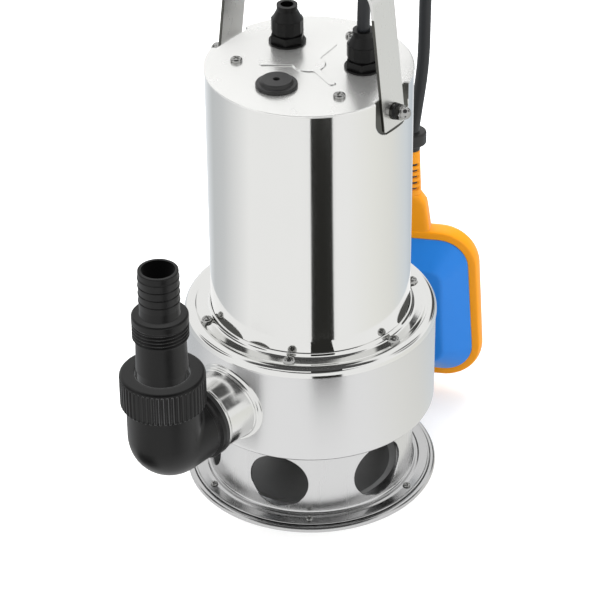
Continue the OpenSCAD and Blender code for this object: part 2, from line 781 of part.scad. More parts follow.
module lower_bracket() {
    boss_r = low_race_r + 4.5;
    wall_in = casing_in - 3.8;
    low_top = low_bearing_z + low_bearing_w;
    color("darkgray") difference() {
        union() {
            rotate_extrude() polygon([[14, plate_top], [casing_in - slide, plate_top],
                [casing_in - slide, core_z], [wall_in, core_z], [wall_in, plate_top + 8],
                [wall_in - 3, plate_top + 5], [boss_r + 3, plate_top + 5], [boss_r, plate_top + 8],
                [boss_r, low_top], [low_race_r + fit, low_top], [low_race_r + fit, low_bearing_z],
                [shaft_r + 1.5, low_bearing_z], [shaft_r + 1.5, plate_top + 9], [14, plate_top + 9]]);
            around(6, (boss_r + wall_in) / 2, 20) translate([-2, -(wall_in - boss_r) / 2 - 0.5, plate_top + 4])
                cube([4, wall_in - boss_r + 1, 5]);
        }
        around(3, casing_in - 10, 20) translate([0, 0, plate_top - 1]) cylinder(r = m4_r + fit, h = 6);
    }
}

module upper_bracket() {
    boss_r = top_race_r + 4;
    deck_z = deck_top - deck_t;
    boss_top = top_bearing_z + top_bearing_w;
    cap_y = -capacitor_d / 2 - 8;
    color("darkgray") motor() difference() {
        union() {
            rotate_extrude() polygon([[0, boss_top], [top_race_r + fit, boss_top],
                [top_race_r + fit, top_bearing_z - 1], [boss_r, top_bearing_z - 1], [boss_r, deck_z],
                [casing_in - 6.5, deck_z], [casing_in - 4.5, deck_z - 2], [casing_in - 4.5, core_top],
                [casing_in - slide, core_top], [casing_in - slide, deck_top], [boss_r, deck_top],
                [boss_r, boss_top + 3], [0, boss_top + 3]]);
            around(3, lid_screw_r, 60) translate([0, 0, deck_top - 1]) cylinder(r = 5, h = casing_top - deck_top + 1);
            for (x = [-capacitor_l / 3, capacitor_l / 3])
                translate([x - 3, cap_y - 11, deck_top - 1]) cube([6, 22, 12]);
        }
        around(3, lid_screw_r, 60) translate([0, 0, casing_top - 12]) cylinder(r = m4_r + fit, h = 13);
        translate([0, cap_y, deck_top + 6.5 + capacitor_d / 2]) rotate([0, 90, 0])
            cylinder(d = capacitor_d + 2 * slide, h = capacitor_l + 4, center = true);
        around(3, casing_in - 18, 0) translate([0, 0, deck_z - 1]) cylinder(r = 6, h = deck_t + 2);
    }
}

module capacitor() {
    cap_y = -capacitor_d / 2 - 8;
    color("whitesmoke") motor() translate([-capacitor_l / 2, cap_y, deck_top + 6.5 + capacitor_d / 2])
        rotate([0, 90, 0]) rotate_extrude() polygon([[0, 0], [capacitor_d / 2 - 1, 0],
            [capacitor_d / 2, 1], [capacitor_d / 2, capacitor_l - 4], [capacitor_d / 2 - 1.5, capacitor_l - 3],
            [4, capacitor_l - 3], [4, capacitor_l], [0, capacitor_l]]);
}

module terminal_block() {
    block_y = top_race_r + 7;
    color("ivory") motor() translate([-18, block_y, deck_top]) difference() {
        cube([36, 12, 14]);
        for (x = [4, 13, 22]) {
            translate([x, 3, 8]) cube([5, 6, 7]);
            translate([x + 1, -1, 3]) cube([3, 14, 3]);
        }
    }
}

// ---------------------------------------------------------------- motor casing and handle

// Height of the bolts, and distance of the strap's outer face from the axis at that height
bolt_z = casing_top - bolt_drop;
strap_foot_z = bolt_z - strap_end;
strap_x = casing_r - strap_end * tan(strap_lean);

// Puts children at a handle foot: +Z points out of the strap's outer face, +X down along it
module foot() {
    motor() for (side = [0, 180])
        rotate([0, 0, side]) translate([strap_x, 0, bolt_z]) rotate([0, 90 - strap_lean, 0]) children();
}

// The space that the pressed pockets take out of the casing, grown by d
module pockets(d) {
    half = pocket_w / 2 + d;
    low = strap_end + 1.5 + d;
    round_r = 9 + d;
    foot() translate([0, 0, -strap_t - slide - d]) linear_extrude(30)
        polygon(rounded([[-40, -half], [low, -half], [low, half], [-40, half]], [0, round_r, round_r, 0], 8));
}

module casing_form(d) {
    difference() {
        translate([0, 0, plate_top - 1]) cylinder(r = casing_r - d, h = casing_h + 2);
        pockets(d);
    }
}

module motor_casing() {
    color("gainsboro") difference() {
        intersection() {
            casing_form(0);
            translate([0, 0, plate_top]) cylinder(r = casing_r + 1, h = casing_h);
        }
        casing_form(casing_wall);
        foot() translate([0, 0, -12]) cylinder(d = bolt_d + 2 * slide, h = 12);
    }
}

module top_cover() {
    color("white") motor() rotate([0, 0, -motor_turn]) difference() {
        union() {
            translate([0, 0, casing_top]) cylinder(r = casing_r + lid_overhang, h = lid_t);
            tube(casing_in - 0.4, casing_in - 1.6, casing_top - 4, 4.5);
            motor() translate([0, 0, lid_top - 0.2]) linear_extrude(0.9) {
                circle(d = star_d);
                around(3, 0, 60) translate([0, -star_arm_r / 2]) square([star_arm_w, star_arm_r], center = true);
                around(3, star_arm_r, 60) circle(d = star_arm_w);
            }
        }
        difference() {
            pockets(0);
            translate([0, 0, plate_top]) cylinder(r = casing_r + 20, h = casing_h);
        }
        intersection() {
            pockets(casing_wall + 0.4);
            translate([0, 0, plate_top]) cylinder(r = casing_r + 20, h = casing_h);
        }
        motor() around(3, lid_screw_r, 60) translate([0, 0, casing_top - 1]) cylinder(r = m4_r + slide, h = 4);
        motor() around(3, cable_hole_r) translate([0, 0, casing_top - 1]) cylinder(r = 8, h = 4);
    }
}

module top_cover_screws() {
    color("gainsboro") motor() around(3, lid_screw_r, 60) translate([0, 0, lid_top])
        pan_screw(m4_head_r + 0.3, m4_head_h, m4_r, 12);
}

module blind_plug() {
    color([0.12, 0.12, 0.12]) motor() around(1, cable_hole_r) translate([0, 0, lid_top])
        rotate_extrude() polygon([[0, -lid_t - 5], [6, -lid_t - 5], [9.2, -lid_t - 1.5], [9.2, -lid_t],
            [7.9, -lid_t], [7.9, 0], [12.25, 0], [12.25, 1.6], [11.6, 2.3], [9.7, 2.5], [9.5, 4],
            [8.9, 4.6], [1.9, 4.6], [1.9, 1.6], [0, 1.6]]);
}

module gland(az) {
    hex_r = 10.5;
    color([0.13, 0.13, 0.13]) motor() rotate([0, 0, az]) translate([0, -cable_hole_r, lid_top]) difference() {
        union() {
            translate([0, 0, -lid_t - 5]) cylinder(r = 7.9, h = lid_t + 6);
            cylinder(r = hex_r + 0.6, h = 1.2);
            translate([0, 0, 1]) cylinder(r = hex_r, h = 5, $fn = 6);
            translate([0, 0, 5]) cylinder(r = 8.2, h = 4);
            translate([0, 0, 7.5]) cylinder(r = 9.6, h = 8, $fn = 12);
            translate([0, 0, 15]) cylinder(r1 = 9.2, r2 = 6.2, h = 6);
            translate([0, 0, 20.5]) cylinder(r = 6.2, h = 4);
        }
        translate([0, 0, -lid_t - 6]) cylinder(r = cable_d / 2 + slide, h = 32);
    }
}

module float_cable_gland() {
    gland(120);
}

module mains_cable_gland() {
    gland(240);
}

module gland_locknuts() {
    color([0.2, 0.2, 0.2]) motor() for (az = [120, 240])
        rotate([0, 0, az]) translate([0, -cable_hole_r, casing_top - 3.6]) difference() {
            cylinder(r = 10.5, h = 3.5, $fn = 6);
            translate([0, 0, -1]) cylinder(r = 7.9 + fit, h = 6);
        }
}

module handle() {
    top = lid_top + handle_rise;
    lean = tan(strap_lean);
    inner = strap_t / cos(strap_lean);
    high_x = casing_r - (top - strap_foot_z) * lean;
    span_z = top - strap_t;
    span_x = casing_r - inner - (span_z - strap_foot_z) * lean;
    low_x = casing_r + 10 * lean;
    outer_bend = strap_bend + strap_t;
    color("lightsteelblue") motor() difference() {
        intersection() {
            rotate([90, 0, 0]) linear_extrude(strap_w, center = true) difference() {
                polygon(rounded([[-low_x, strap_foot_z - 10], [low_x, strap_foot_z - 10], [high_x, top],
                    [-high_x, top]], [0, 0, outer_bend, outer_bend], 8));
                polygon(rounded([[-low_x + inner, strap_foot_z - 10], [low_x - inner, strap_foot_z - 10],
                    [span_x, span_z], [-span_x, span_z]], [0, 0, strap_bend, strap_bend], 8));
            }
            rotate([90, 0, 90]) linear_extrude(2 * casing_r + 20, center = true)
                polygon(rounded([[-strap_w / 2, strap_foot_z], [strap_w / 2, strap_foot_z],
                    [strap_w / 2, top + 1], [-strap_w / 2, top + 1]], [1.5, 1.5, 0, 0]));
        }
        for (side = [0, 180])
            rotate([0, 0, side]) translate([strap_x, 0, bolt_z]) rotate([0, 90 - strap_lean, 0])
                translate([0, 0, -strap_t - 1]) cylinder(d = bolt_d + 2 * slide, h = strap_t + 2);
    }
}

washer_t = 2;
seal_t = 1.2;
hex_t = 3.6;

module handle_bolts() {
    wall_z = -strap_t - slide - casing_wall;
    color("gainsboro") foot() {
        translate([0, 0, wall_z - 3.2]) cylinder(r = bolt_d * 0.9, h = 3.2);
        translate([0, 0, wall_z - 1]) cylinder(d = bolt_d, h = washer_t + seal_t + 5 - wall_z);
    }
}

module handle_washers() {
    color("darkgray") foot() difference() {
        cylinder(r = bolt_d, h = washer_t);
        translate([0, 0, -1]) cylinder(d = bolt_d + 2 * fit, h = washer_t + 2);
    }
}

module handle_seals() {
    color([0.08, 0.08, 0.08]) foot() translate([0, 0, washer_t]) difference() {
        cylinder(r = bolt_d * 0.95, h = seal_t);
        translate([0, 0, -1]) cylinder(d = bolt_d + 2 * fit, h = seal_t + 2);
    }
}

module handle_nuts() {
    dome_r = bolt_d * 0.74;
    color("gainsboro") foot() translate([0, 0, washer_t + seal_t]) difference() {
        union() {
            cylinder(r = bolt_d * 0.92, h = hex_t, $fn = 6);
            cylinder(r = dome_r, h = hex_t + 1);
            translate([0, 0, hex_t + 1]) sphere(r = dome_r);
        }
        translate([0, 0, -1]) cylinder(d = bolt_d + 2 * fit, h = 5.6);
    }
}

// ---------------------------------------------------------------- float switch

// Puts children in the float's own frame: its front faces -Y
module float_frame() {
    translate([float_x, float_y, 0]) rotate([0, 0, float_face]) children();
}

// Puts children on the axis of the float's neck, which is the cable's
module neck_frame() {
    float_frame() translate([-neck_shift, 0, 0]) children();
}

// The outside of the front shell, drawn in by d
module shell_form(d) {
    half = float_t / 2 - d;
    edge = band_t / 2 + 0.8 - d / 2;
    loft([at_y(float_outline(band_w + slide + d), d > 0 ? 1 : 0),
          at_y(float_outline(band_w + slide + d), -edge),
          at_y(panel_outline(1.6 - d), -half + 1.4),
          at_y(panel_outline(-d), -half)]);
}

module front_shell() {
    color([0.14, 0.5, 0.82]) difference() {
        union() {
            difference() {
                shell_form(0);
                shell_form(shell_wall);
            }
            for (z = [capsule_z + 8, capsule_z + 52])
                translate([-10, -float_t / 2 + shell_wall - 0.5, z]) cube([20, float_t / 2 - shell_wall - 2, 3]);
        }
        translate([0, 0, capsule_z - 5]) cylinder(r = capsule_r + slide, h = 90);
    }
}

module float_front_shell() {
    float_frame() front_shell();
}

module float_back_shell() {
    float_frame() rotate([0, 0, 180]) front_shell();
}

module float_band() {
    neck_low = 12.8;
    neck_high = 6.6;
    color([0.93, 0.66, 0.05]) difference() {
        union() {
            float_frame() loft([at_y(float_outline(1.8), band_t / 2), at_y(float_outline(0.5), band_t / 4),
                  at_y(float_outline(0), 0), at_y(float_outline(0.5), -band_t / 4),
                  at_y(float_outline(1.8), -band_t / 2)]);
            neck_frame() rotate([90, 0, 0]) linear_extrude(band_t - 1, center = true)
                polygon([[-neck_low, float_top - 4], [neck_low, float_top - 4], [neck_low - 1.5, float_top + 9.5],
                    [neck_high + 3.3, float_top + 18.5], [neck_high + 0.6, relief_z - 1.5], [neck_high, relief_z],
                    [-neck_high, relief_z], [-neck_high - 0.6, relief_z - 1.5],
                    [-neck_high - 3.3, float_top + 18.5], [-neck_low + 1.5, float_top + 9.5]]);
        }
        float_frame() loft([at_y(float_outline(band_w), band_t), at_y(float_outline(band_w), -band_t)]);
        neck_frame() translate([0, 0, float_top - 10]) cylinder(d = cable_d + 0.4, h = 50);
    }
}

module float_strain_relief() {
    slot_pitch = 4.25;
    color([0.93, 0.66, 0.05]) neck_frame() difference() {
        translate([0, 0, relief_z]) cylinder(r1 = 6.2, r2 = 4.9, h = relief_top - relief_z);
        translate([0, 0, relief_z - 1]) cylinder(d = cable_d + 0.4, h = relief_top - relief_z + 2);
        for (i = [0 : 8])
            translate([-12, i % 2 == 0 ? -12 : 1.5, relief_z + 6.2 + i * slot_pitch / 2]) cube([24, 10.5, 1.4]);
    }
}

module float_collar() {
    color([0.09, 0.09, 0.09]) neck_frame() rotate_extrude() polygon([[cable_d / 2 + 0.2, relief_top],
        [4.9, relief_top], [4.9, float_collar_z], [8.2, float_collar_z], [8.75, float_collar_z + 0.6],
        [8.75, float_collar_z + float_collar_h - 1.5], [7.8, float_collar_z + float_collar_h],
        [cable_d / 2 + 0.2, float_collar_z + float_collar_h]]);
}

module float_switch() {
    ball_space = float_ball_d + ball_travel + 2 * free;
    color("ivory") float_frame() difference() {
        translate([0, 0, capsule_z]) cylinder(r = capsule_r, h = ball_space + 32);
        translate([0, 0, capsule_z + 2]) cylinder(r = float_ball_d / 2 + free, h = ball_space);
    }
}

module float_ball() {
    color("silver") float_frame() translate([0, 0, ball_rest_z]) sphere(d = float_ball_d);
}

module cable_run(first, last) {
    color([0.08, 0.08, 0.08]) loft([for (i = [first : last]) cable_ring(i)]);
}

module float_cable_upper() {
    cable_run(0, bend_first);
}

module float_cable_bend() {
    cable_run(bend_first, bend_last);
}

module float_cable_lower() {
    cable_run(bend_last, len(cable_route) - 1);
}

base_plate();
base_screws();
strainer_cup();
strainer_screws();
volute_drum();
impeller();
impeller_nut();
shaft();
seal_head();
seal_seat();
seal_plate();
drum_oring();
bracket_screws();
lower_bracket();
lip_seal();
lower_bearing_inner();
lower_bearing_outer();
lower_bearing_balls();
rotor_core();
rotor_cage();
stator_core();
stator_windings();
upper_bracket();
upper_bearing_inner();
upper_bearing_outer();
upper_bearing_balls();
capacitor();
terminal_block();
motor_casing();
cover_ring();
cover_ring_screws();
top_cover();
top_cover_screws();
blind_plug();
float_cable_gland();
mains_cable_gland();
gland_locknuts();
handle();
handle_bolts();
handle_washers();
handle_seals();
handle_nuts();
outlet_stub();
outlet_gasket();
elbow();
nozzle_gasket();
union_nut();
hose_nozzle();
float_front_shell();
float_back_shell();
float_band();
float_strain_relief();
float_collar();
float_switch();
float_ball();
float_cable_upper();
float_cable_bend();
float_cable_lower();
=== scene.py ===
# %% [markdown]
# # A submersible sump pump with a float switch
#
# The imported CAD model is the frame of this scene: every body, every hole and every axis is already
# in its place, in metres. This lesson puts the visible skins round that frame. Each skin is a
# surface worked out from a formula, so it is smooth where the CAD mesh has flat facets, and each
# one gets a material that is built like the real one.

# %% Load the frame
import math

import bmesh
import bpy
import numpy as np
from mathutils import Matrix, Vector


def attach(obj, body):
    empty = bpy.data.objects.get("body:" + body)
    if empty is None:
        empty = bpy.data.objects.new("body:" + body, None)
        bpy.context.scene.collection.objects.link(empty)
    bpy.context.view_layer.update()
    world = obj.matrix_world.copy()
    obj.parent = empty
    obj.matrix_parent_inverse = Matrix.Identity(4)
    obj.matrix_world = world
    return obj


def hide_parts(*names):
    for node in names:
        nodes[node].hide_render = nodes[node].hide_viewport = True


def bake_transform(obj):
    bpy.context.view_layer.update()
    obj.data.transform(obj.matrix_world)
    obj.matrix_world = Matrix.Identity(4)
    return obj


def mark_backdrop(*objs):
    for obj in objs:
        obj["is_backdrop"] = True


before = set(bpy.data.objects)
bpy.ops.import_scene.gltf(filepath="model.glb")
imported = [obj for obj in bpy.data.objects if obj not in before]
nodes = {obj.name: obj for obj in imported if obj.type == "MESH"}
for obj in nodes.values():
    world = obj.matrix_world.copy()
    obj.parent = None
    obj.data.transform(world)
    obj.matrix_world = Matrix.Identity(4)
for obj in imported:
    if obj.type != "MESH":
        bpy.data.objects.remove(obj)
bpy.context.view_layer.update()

MM = 0.001


def linked(name, data):
    """A new object for some data, in the scene."""
    obj = bpy.data.objects.new(name, data)
    bpy.context.scene.collection.objects.link(obj)
    return obj


# %% [markdown]
# ## Camera
#
# A product shot is taken from far away with a long lens, so that upright edges stay upright. The
# camera looks 33 degrees down at the pump's axis from 1.65 m. The lens is given by its focal length
# in pixels of a frame 600 pixels wide, and the small shift puts the axis right of the middle. The
# Standard view shows a colour as it is written.

# %% Camera
PITCH, TURN, ROLL = (math.radians(a) for a in (33.33, 41.3, -0.35))
DISTANCE, LOOK_HEIGHT, LOOK_SIDE = 1.652, 0.1192, 0.0003
FRAME_PX, FOCAL_PX, AXIS_PX = 600, 2695.3, 311

side = Vector((math.cos(TURN), math.sin(TURN), 0))
ahead = Vector((-math.sin(TURN) * math.cos(PITCH), math.cos(TURN) * math.cos(PITCH), -math.sin(PITCH)))
above = side.cross(ahead)
right = side * math.cos(ROLL) + above * math.sin(ROLL)
up = above * math.cos(ROLL) - side * math.sin(ROLL)

lens = bpy.data.cameras.new("camera")
lens.sensor_width = 36
lens.lens = lens.sensor_width * FOCAL_PX / FRAME_PX
lens.shift_x = (FRAME_PX / 2 - AXIS_PX) / FRAME_PX
camera = linked("camera", lens)
stand = side * LOOK_SIDE + Vector((0, 0, LOOK_HEIGHT)) - ahead * DISTANCE
camera.matrix_world = Matrix.Translation(stand) @ Matrix((right, up, -ahead)).transposed().to_4x4()
bpy.context.scene.camera = camera
bpy.context.scene.view_settings.view_transform = "Standard"
print(f"lens {lens.lens:.0f} mm, shift {lens.shift_x:.4f}")

# %% [markdown]
# ## From a formula to a mesh
#
# Every new surface is a grid of points: rows along a profile or a path, columns round it. One
# helper turns such a grid into quads, and another one makes the object, merges the seam and the
# poles, marks the sharp edges and lets the larger faces steer the shading, so that a flat stays
# flat right up to its rounded edge.

# %% Grids and pieces
def grid(*parts):
    """Points from their coordinates, each spread over the rows and columns of the others."""
    return np.stack(np.broadcast_arrays(*parts), -1)


def skin(points, close_rows=False, close_cols=True):
    """A grid of points (rows, columns, xyz) as a list of points and a list of quads.
    A quad joins a point, its right neighbour and the two in the next row; a closed side runs round."""
    rows, cols = points.shape[:2]
    r = np.arange(rows if close_rows else rows - 1)[:, None]
    c = np.arange(cols if close_cols else cols - 1)[None, :]
    r2, c2 = (r + 1) % rows, (c + 1) % cols
    quads = grid(r * cols + c, r * cols + c2, r2 * cols + c2, r2 * cols + c)
    return points.reshape(-1, 3), quads.reshape(-1, 4)


def piece(name, skins, finish, replaces=(), body="pump", sheet=0, sharp=38, inside=None):
    """One object from skins in millimetres. sheet is the thickness of a skin that is still open, and
    inside the finish of its inner face."""
    starts = np.cumsum([0] + [len(points) for points, _ in skins])
    points = np.concatenate([points for points, _ in skins]) * MM
    faces = np.concatenate([quads + start for (_, quads), start in zip(skins, starts)])
    mesh = bpy.data.meshes.new(name)
    mesh.from_pydata(points.tolist(), [], faces.tolist())
    work = bmesh.new()
    work.from_mesh(mesh)
    bmesh.ops.remove_doubles(work, verts=work.verts, dist=3e-6)
    bmesh.ops.recalc_face_normals(work, faces=work.faces)
    if sheet:
        far = max(work.faces, key=lambda face: face.calc_center_median().xy.length)
        if far.normal.xy.dot(far.calc_center_median().xy) < 0:
            bmesh.ops.reverse_faces(work, faces=work.faces)
    work.to_mesh(mesh)
    work.free()
    mesh.shade_smooth()
    mesh.set_sharp_from_angle(angle=math.radians(sharp))
    obj = linked(name, mesh)
    mesh.materials.append(FINISHES[finish])
    if sheet:
        wall = obj.modifiers.new("sheet", "SOLIDIFY")
        wall.thickness, wall.offset = sheet * MM, -1
        if inside:
            mesh.materials.append(FINISHES[inside])
            wall.material_offset = 1
    shade = obj.modifiers.new("shading", "WEIGHTED_NORMAL")
    shade.keep_sharp, shade.weight = True, 50 if sheet else 80
    if body:
        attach(obj, body)
    if replaces:
        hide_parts(*replaces)
    print(f"{name}: {len(mesh.polygons)} faces")
    return obj


def recolour(obj, finish, where):
    """Gives a second finish to the faces whose centres, in millimetres, meet a condition."""
    mesh = obj.data
    mesh.materials.append(FINISHES[finish])
    centres = np.empty(len(mesh.polygons) * 3)
    mesh.polygons.foreach_get("center", centres)
    chosen = where(*(centres.reshape(-1, 3).T / MM)).astype(np.int32)
    mesh.polygons.foreach_set("material_index", chosen * (len(mesh.materials) - 1))


def smooth(t):
    """An S curve from 0 to 1: 3 t^2 - 2 t^3."""
    t = np.clip(t, 0, 1)
    return t * t * (3 - 2 * t)


def turned(points, degrees):
    """Points turned round the z axis."""
    c, s = math.cos(math.radians(degrees)), math.sin(math.radians(degrees))
    return points @ np.array([[c, s, 0], [-s, c, 0], [0, 0, 1]])


def full_turn(steps):
    """Angles once round, in radians."""
    return np.linspace(0, 2 * np.pi, steps, endpoint=False)


def polar(r, a, z):
    """Points at a distance r from the axis, an azimuth a and a height z: (r sin a, -r cos a, z)."""
    return grid(r * np.sin(a), -r * np.cos(a), z)


def lathe(profile, steps):
    """Each (radius, height) of a profile turned round the z axis."""
    r, z = np.array(profile, float).T[:, :, None]
    return polar(r, full_turn(steps), z)


def unit(vectors):
    """Vectors drawn out to a length of 1."""
    return vectors / np.linalg.norm(vectors, axis=1, keepdims=True)


def soften(corners, radii, steps=5):
    """A closed outline with every corner replaced by an arc that touches both of its sides."""
    p = np.array(corners, float)
    r = np.broadcast_to(np.asarray(radii, float), len(p))[:, None]
    u, v = unit(np.roll(p, 1, 0) - p), unit(np.roll(p, -1, 0) - p)
    half = np.arccos(np.clip((u * v).sum(1, keepdims=True), -1, 1)) / 2
    middle = p + unit(u + v) * r / np.sin(half)
    start, end = p + u * r / np.tan(half) - middle, p + v * r / np.tan(half) - middle
    sweep = np.arctan2(start[:, 0] * end[:, 1] - start[:, 1] * end[:, 0], (start * end).sum(1))
    angle = np.arctan2(start[:, 1], start[:, 0])[:, None] + sweep[:, None] * np.linspace(0, 1, steps + 1)
    arcs = middle[:, None] + r[:, None] * grid(np.cos(angle), np.sin(angle))
    return arcs.reshape(-1, 2)


def arc(middle, radius, start, end, steps):
    """Points on a circle round middle, between two angles in degrees."""
    a = np.radians(np.linspace(start, end, steps + 1))
    return np.array(middle) + radius * grid(np.cos(a), np.sin(a))


print("helpers ready")

# %% [markdown]
# ## Materials
#
# The pump is nearly all stainless steel, and what tells one sheet from the next is how it was
# finished: the casing is fine ground and reflects like a dull mirror, the pressed ring is polished,
# the drum and the strainer are satin. So one recipe makes every metal, from a tint, a roughness and
# a grain: noise that is stretched along the grinding direction changes the roughness a little and
# lifts the surface by microns. Metals keep the default IOR. The plastics have their own recipe: the
# colour drifts by a few per cent, and the fine leather of a spark-eroded mould is a bump.

# %% Colours and nodes
def linear(code):
    """A hex colour in sRGB as the linear RGBA that a shader wants."""
    parts = [int(code[i:i + 2], 16) / 255 for i in (1, 3, 5)]
    return (*(c / 12.92 if c <= 0.04045 else ((c + 0.055) / 1.055) ** 2.4 for c in parts), 1)


def add(tree, kind, inputs=(), **settings):
    """Adds one shader node, with its settings and its inputs: a value, or the socket to link."""
    node = tree.nodes.new("ShaderNode" + kind)
    for name, value in settings.items():
        setattr(node, name, value)
    for key, value in dict(inputs).items():
        if isinstance(value, bpy.types.NodeSocket):
            tree.links.new(value, node.inputs[key])
        else:
            node.inputs[key].default_value = value
    return node


def mix(tree, share, low, high):
    """A colour between two others."""
    return add(tree, "Mix", {"Factor": share, 6: low, 7: high}, data_type="RGBA").outputs[2]


def noise(tree, place, scale, detail):
    """Noise that repeats scale times per metre."""
    return add(tree, "TexNoise", {"Vector": place, "Scale": scale, "Detail": detail}).outputs[0]


def build(name, shade):
    """A new material. shade adds the nodes to its tree and returns the last one."""
    material = bpy.data.materials.new(name)
    material.use_nodes = True
    tree = material.node_tree
    tree.nodes.clear()
    add(tree, "OutputMaterial", {0: shade(tree).outputs[0]})
    return material


def surface(tree, tint, drift, cloud, rough, fine, lift, **more):
    """What every finish has: a tint that drifts with the clouds, a roughness, and a fine relief of a
    height in millimetres."""
    dark = tuple(c * (1 - drift) for c in linear(tint)[:3]) + (1,)
    bump = add(tree, "Bump", {"Height": fine, "Distance": lift * MM})
    return add(tree, "BsdfPrincipled", {"Base Color": mix(tree, cloud, dark, linear(tint)),
                                        "Roughness": rough.outputs[0], "Normal": bump.outputs[0], **more})


def metal(name, tint, rough, spread, grain, lift, patch, haze=0):
    """Metal of one tint. grain is how often the noise repeats per metre along x, y and z, spread how
    far it moves the roughness, lift its height in millimetres, patch how far the tint drifts, and
    haze the share of light that a milky surface scatters instead of mirroring it."""
    def shade(tree):
        place = add(tree, "TexCoord").outputs["Object"]
        along = add(tree, "Mapping", {"Vector": place, "Scale": grain})
        lines = noise(tree, along.outputs[0], 1, 3)
        dull = add(tree, "MapRange", {"Value": lines, "From Min": 0.3, "From Max": 0.7,
                                      "To Min": rough - spread, "To Max": rough + spread})
        return surface(tree, tint, patch, noise(tree, place, 28, 4), dull, lines, lift, Metallic=1 - haze)
    return build(name, shade)


def moulded(name, tint, rough, grit, lift, drift, ior=1.49):
    """Plastic or rubber. grit is the size of the mould's texture in millimetres and lift its height."""
    def shade(tree):
        place = add(tree, "TexCoord").outputs["Object"]
        cloud = noise(tree, place, 45, 3)
        dull = add(tree, "MapRange", {"Value": cloud, "To Min": rough - 0.05, "To Max": rough + 0.05})
        return surface(tree, tint, drift, cloud, dull, noise(tree, place, 1000 / grit, 2), lift, IOR=ior)
    return build(name, shade)


# %% Finishes
FINISHES = {
    # 1.4301 sheet, rolled and fine ground upwards: a dull mirror with faint upright lines
    "casing_steel": metal("ground_stainless_steel", "#E6E6E4", 0.09, 0.015, (900, 900, 12), 0.0005, 0.02),
    # the same sheet, satin: the reflections melt into soft gradients
    "drum_steel": metal("satin_stainless_steel", "#DDDDDD", 0.25, 0.015, (600, 600, 10), 0.0003, 0.02),
    # deep drawn, so the grain opens and the gloss is duller
    "base_steel": metal("drawn_stainless_steel", "#D8D8D8", 0.26, 0.02, (400, 400, 16), 0.0004, 0.04),
    # bright annealed sheet, pressed and left as it is: a milky mirror with pale clouds
    "lid_steel": metal("bright_annealed_stainless_steel", "#E8E8E6", 0.25, 0.03, (70, 70, 70), 0.001, 0.04, 0.18),
    # strap, ground along its length
    "handle_steel": metal("brushed_stainless_strap", "#E0E0DE", 0.3, 0.03, (900, 900, 30), 0.0005, 0.04),
    # turned and pressed small parts of A2 steel, a little tarnished
    "bright_steel": metal("stainless_fasteners", "#B0B0AE", 0.15, 0.04, (500, 500, 500), 0.001, 0.12),
    # electrical steel of rotor and stator, with its blue-grey annealing skin
    "motor_iron": metal("annealed_electrical_steel", "#6E7276", 0.45, 0.08, (80, 80, 2000), 0.01, 0.15),
    # sand cast and left as it is
    "cast_aluminium": metal("cast_aluminium", "#B4B5B6", 0.5, 0.1, (300, 300, 300), 0.03, 0.12),
    "brass": metal("turned_brass", "#C9A45A", 0.25, 0.05, (60, 60, 1500), 0.003, 0.06),
    # enamelled copper wire, wound round the poles
    "copper_winding": metal("enamelled_copper_wire", "#B5652E", 0.35, 0.1, (90, 90, 1100), 0.05, 0.2),
    "seal_ceramic": moulded("sintered_alumina", "#E3D6BE", 0.35, 0.3, 0.002, 0.05, 1.76),
    # nitrile rubber: black with a grey bloom
    "rubber_black": moulded("nitrile_rubber", "#202020", 0.42, 0.8, 0.008, 0.15, 1.5),
    # the cable's jacket of chloroprene rubber: slate black and softly shiny
    "cable_black": moulded("chloroprene_cable_jacket", "#15181C", 0.4, 1.2, 0.012, 0.12, 1.5),
    # glass filled nylon from a mould with a fine texture: black that looks dark grey in the light
    "black_plastic": moulded("glass_filled_nylon", "#0A0A0A", 0.36, 0.5, 0.008, 0.15, 1.36),
    "white_plastic": moulded("thermoset_polyester", "#E8E4D6", 0.5, 0.5, 0.01, 0.04),
    # polypropylene, moulded with a soft gloss
    "float_blue": moulded("blue_polypropylene", "#1878D2", 0.34, 0.9, 0.005, 0.03, 1.4),
    "float_yellow": moulded("yellow_polypropylene", "#EC9600", 0.36, 0.9, 0.005, 0.03, 1.38),
    # finishes of skins that differ from their slot
    "polished": metal("polished_stainless_steel", "#E6E6E4", 0.09, 0.02, (200, 200, 200), 0.0004, 0.03),
    "buffed": metal("buffed_stainless_steel", "#E2E2E0", 0.17, 0.03, (400, 400, 400), 0.0006, 0.03),
    "dull": metal("dull_stainless_steel", "#C6C6C6", 0.19, 0.03, (300, 300, 300), 0.0006, 0.06),
    # painted shade: a dark finish for the shade in the handle's pockets and on the strap's cut edges
    "pressed": metal("pocket_steel_painted_shade", "#5C5C58", 0.34, 0.04, (500, 500, 60), 0.0006, 0.06),
    # painted shade: a darker finish for the insides of the drum and the strainer and for the base's middle under them
    "painted_shade_inside": metal("inside_steel_painted_shade", "#8C8C8C", 0.42, 0.03, (300, 300, 300), 0.0006, 0.08),
    # painted shade: the bore is painted near black, because next to no light comes back out of a deep bore
    "bore": moulded("nylon_bore_painted_shade", "#030303", 0.7, 0.5, 0.008, 0.15, 1.1),
}
print(len(FINISHES), "finishes")
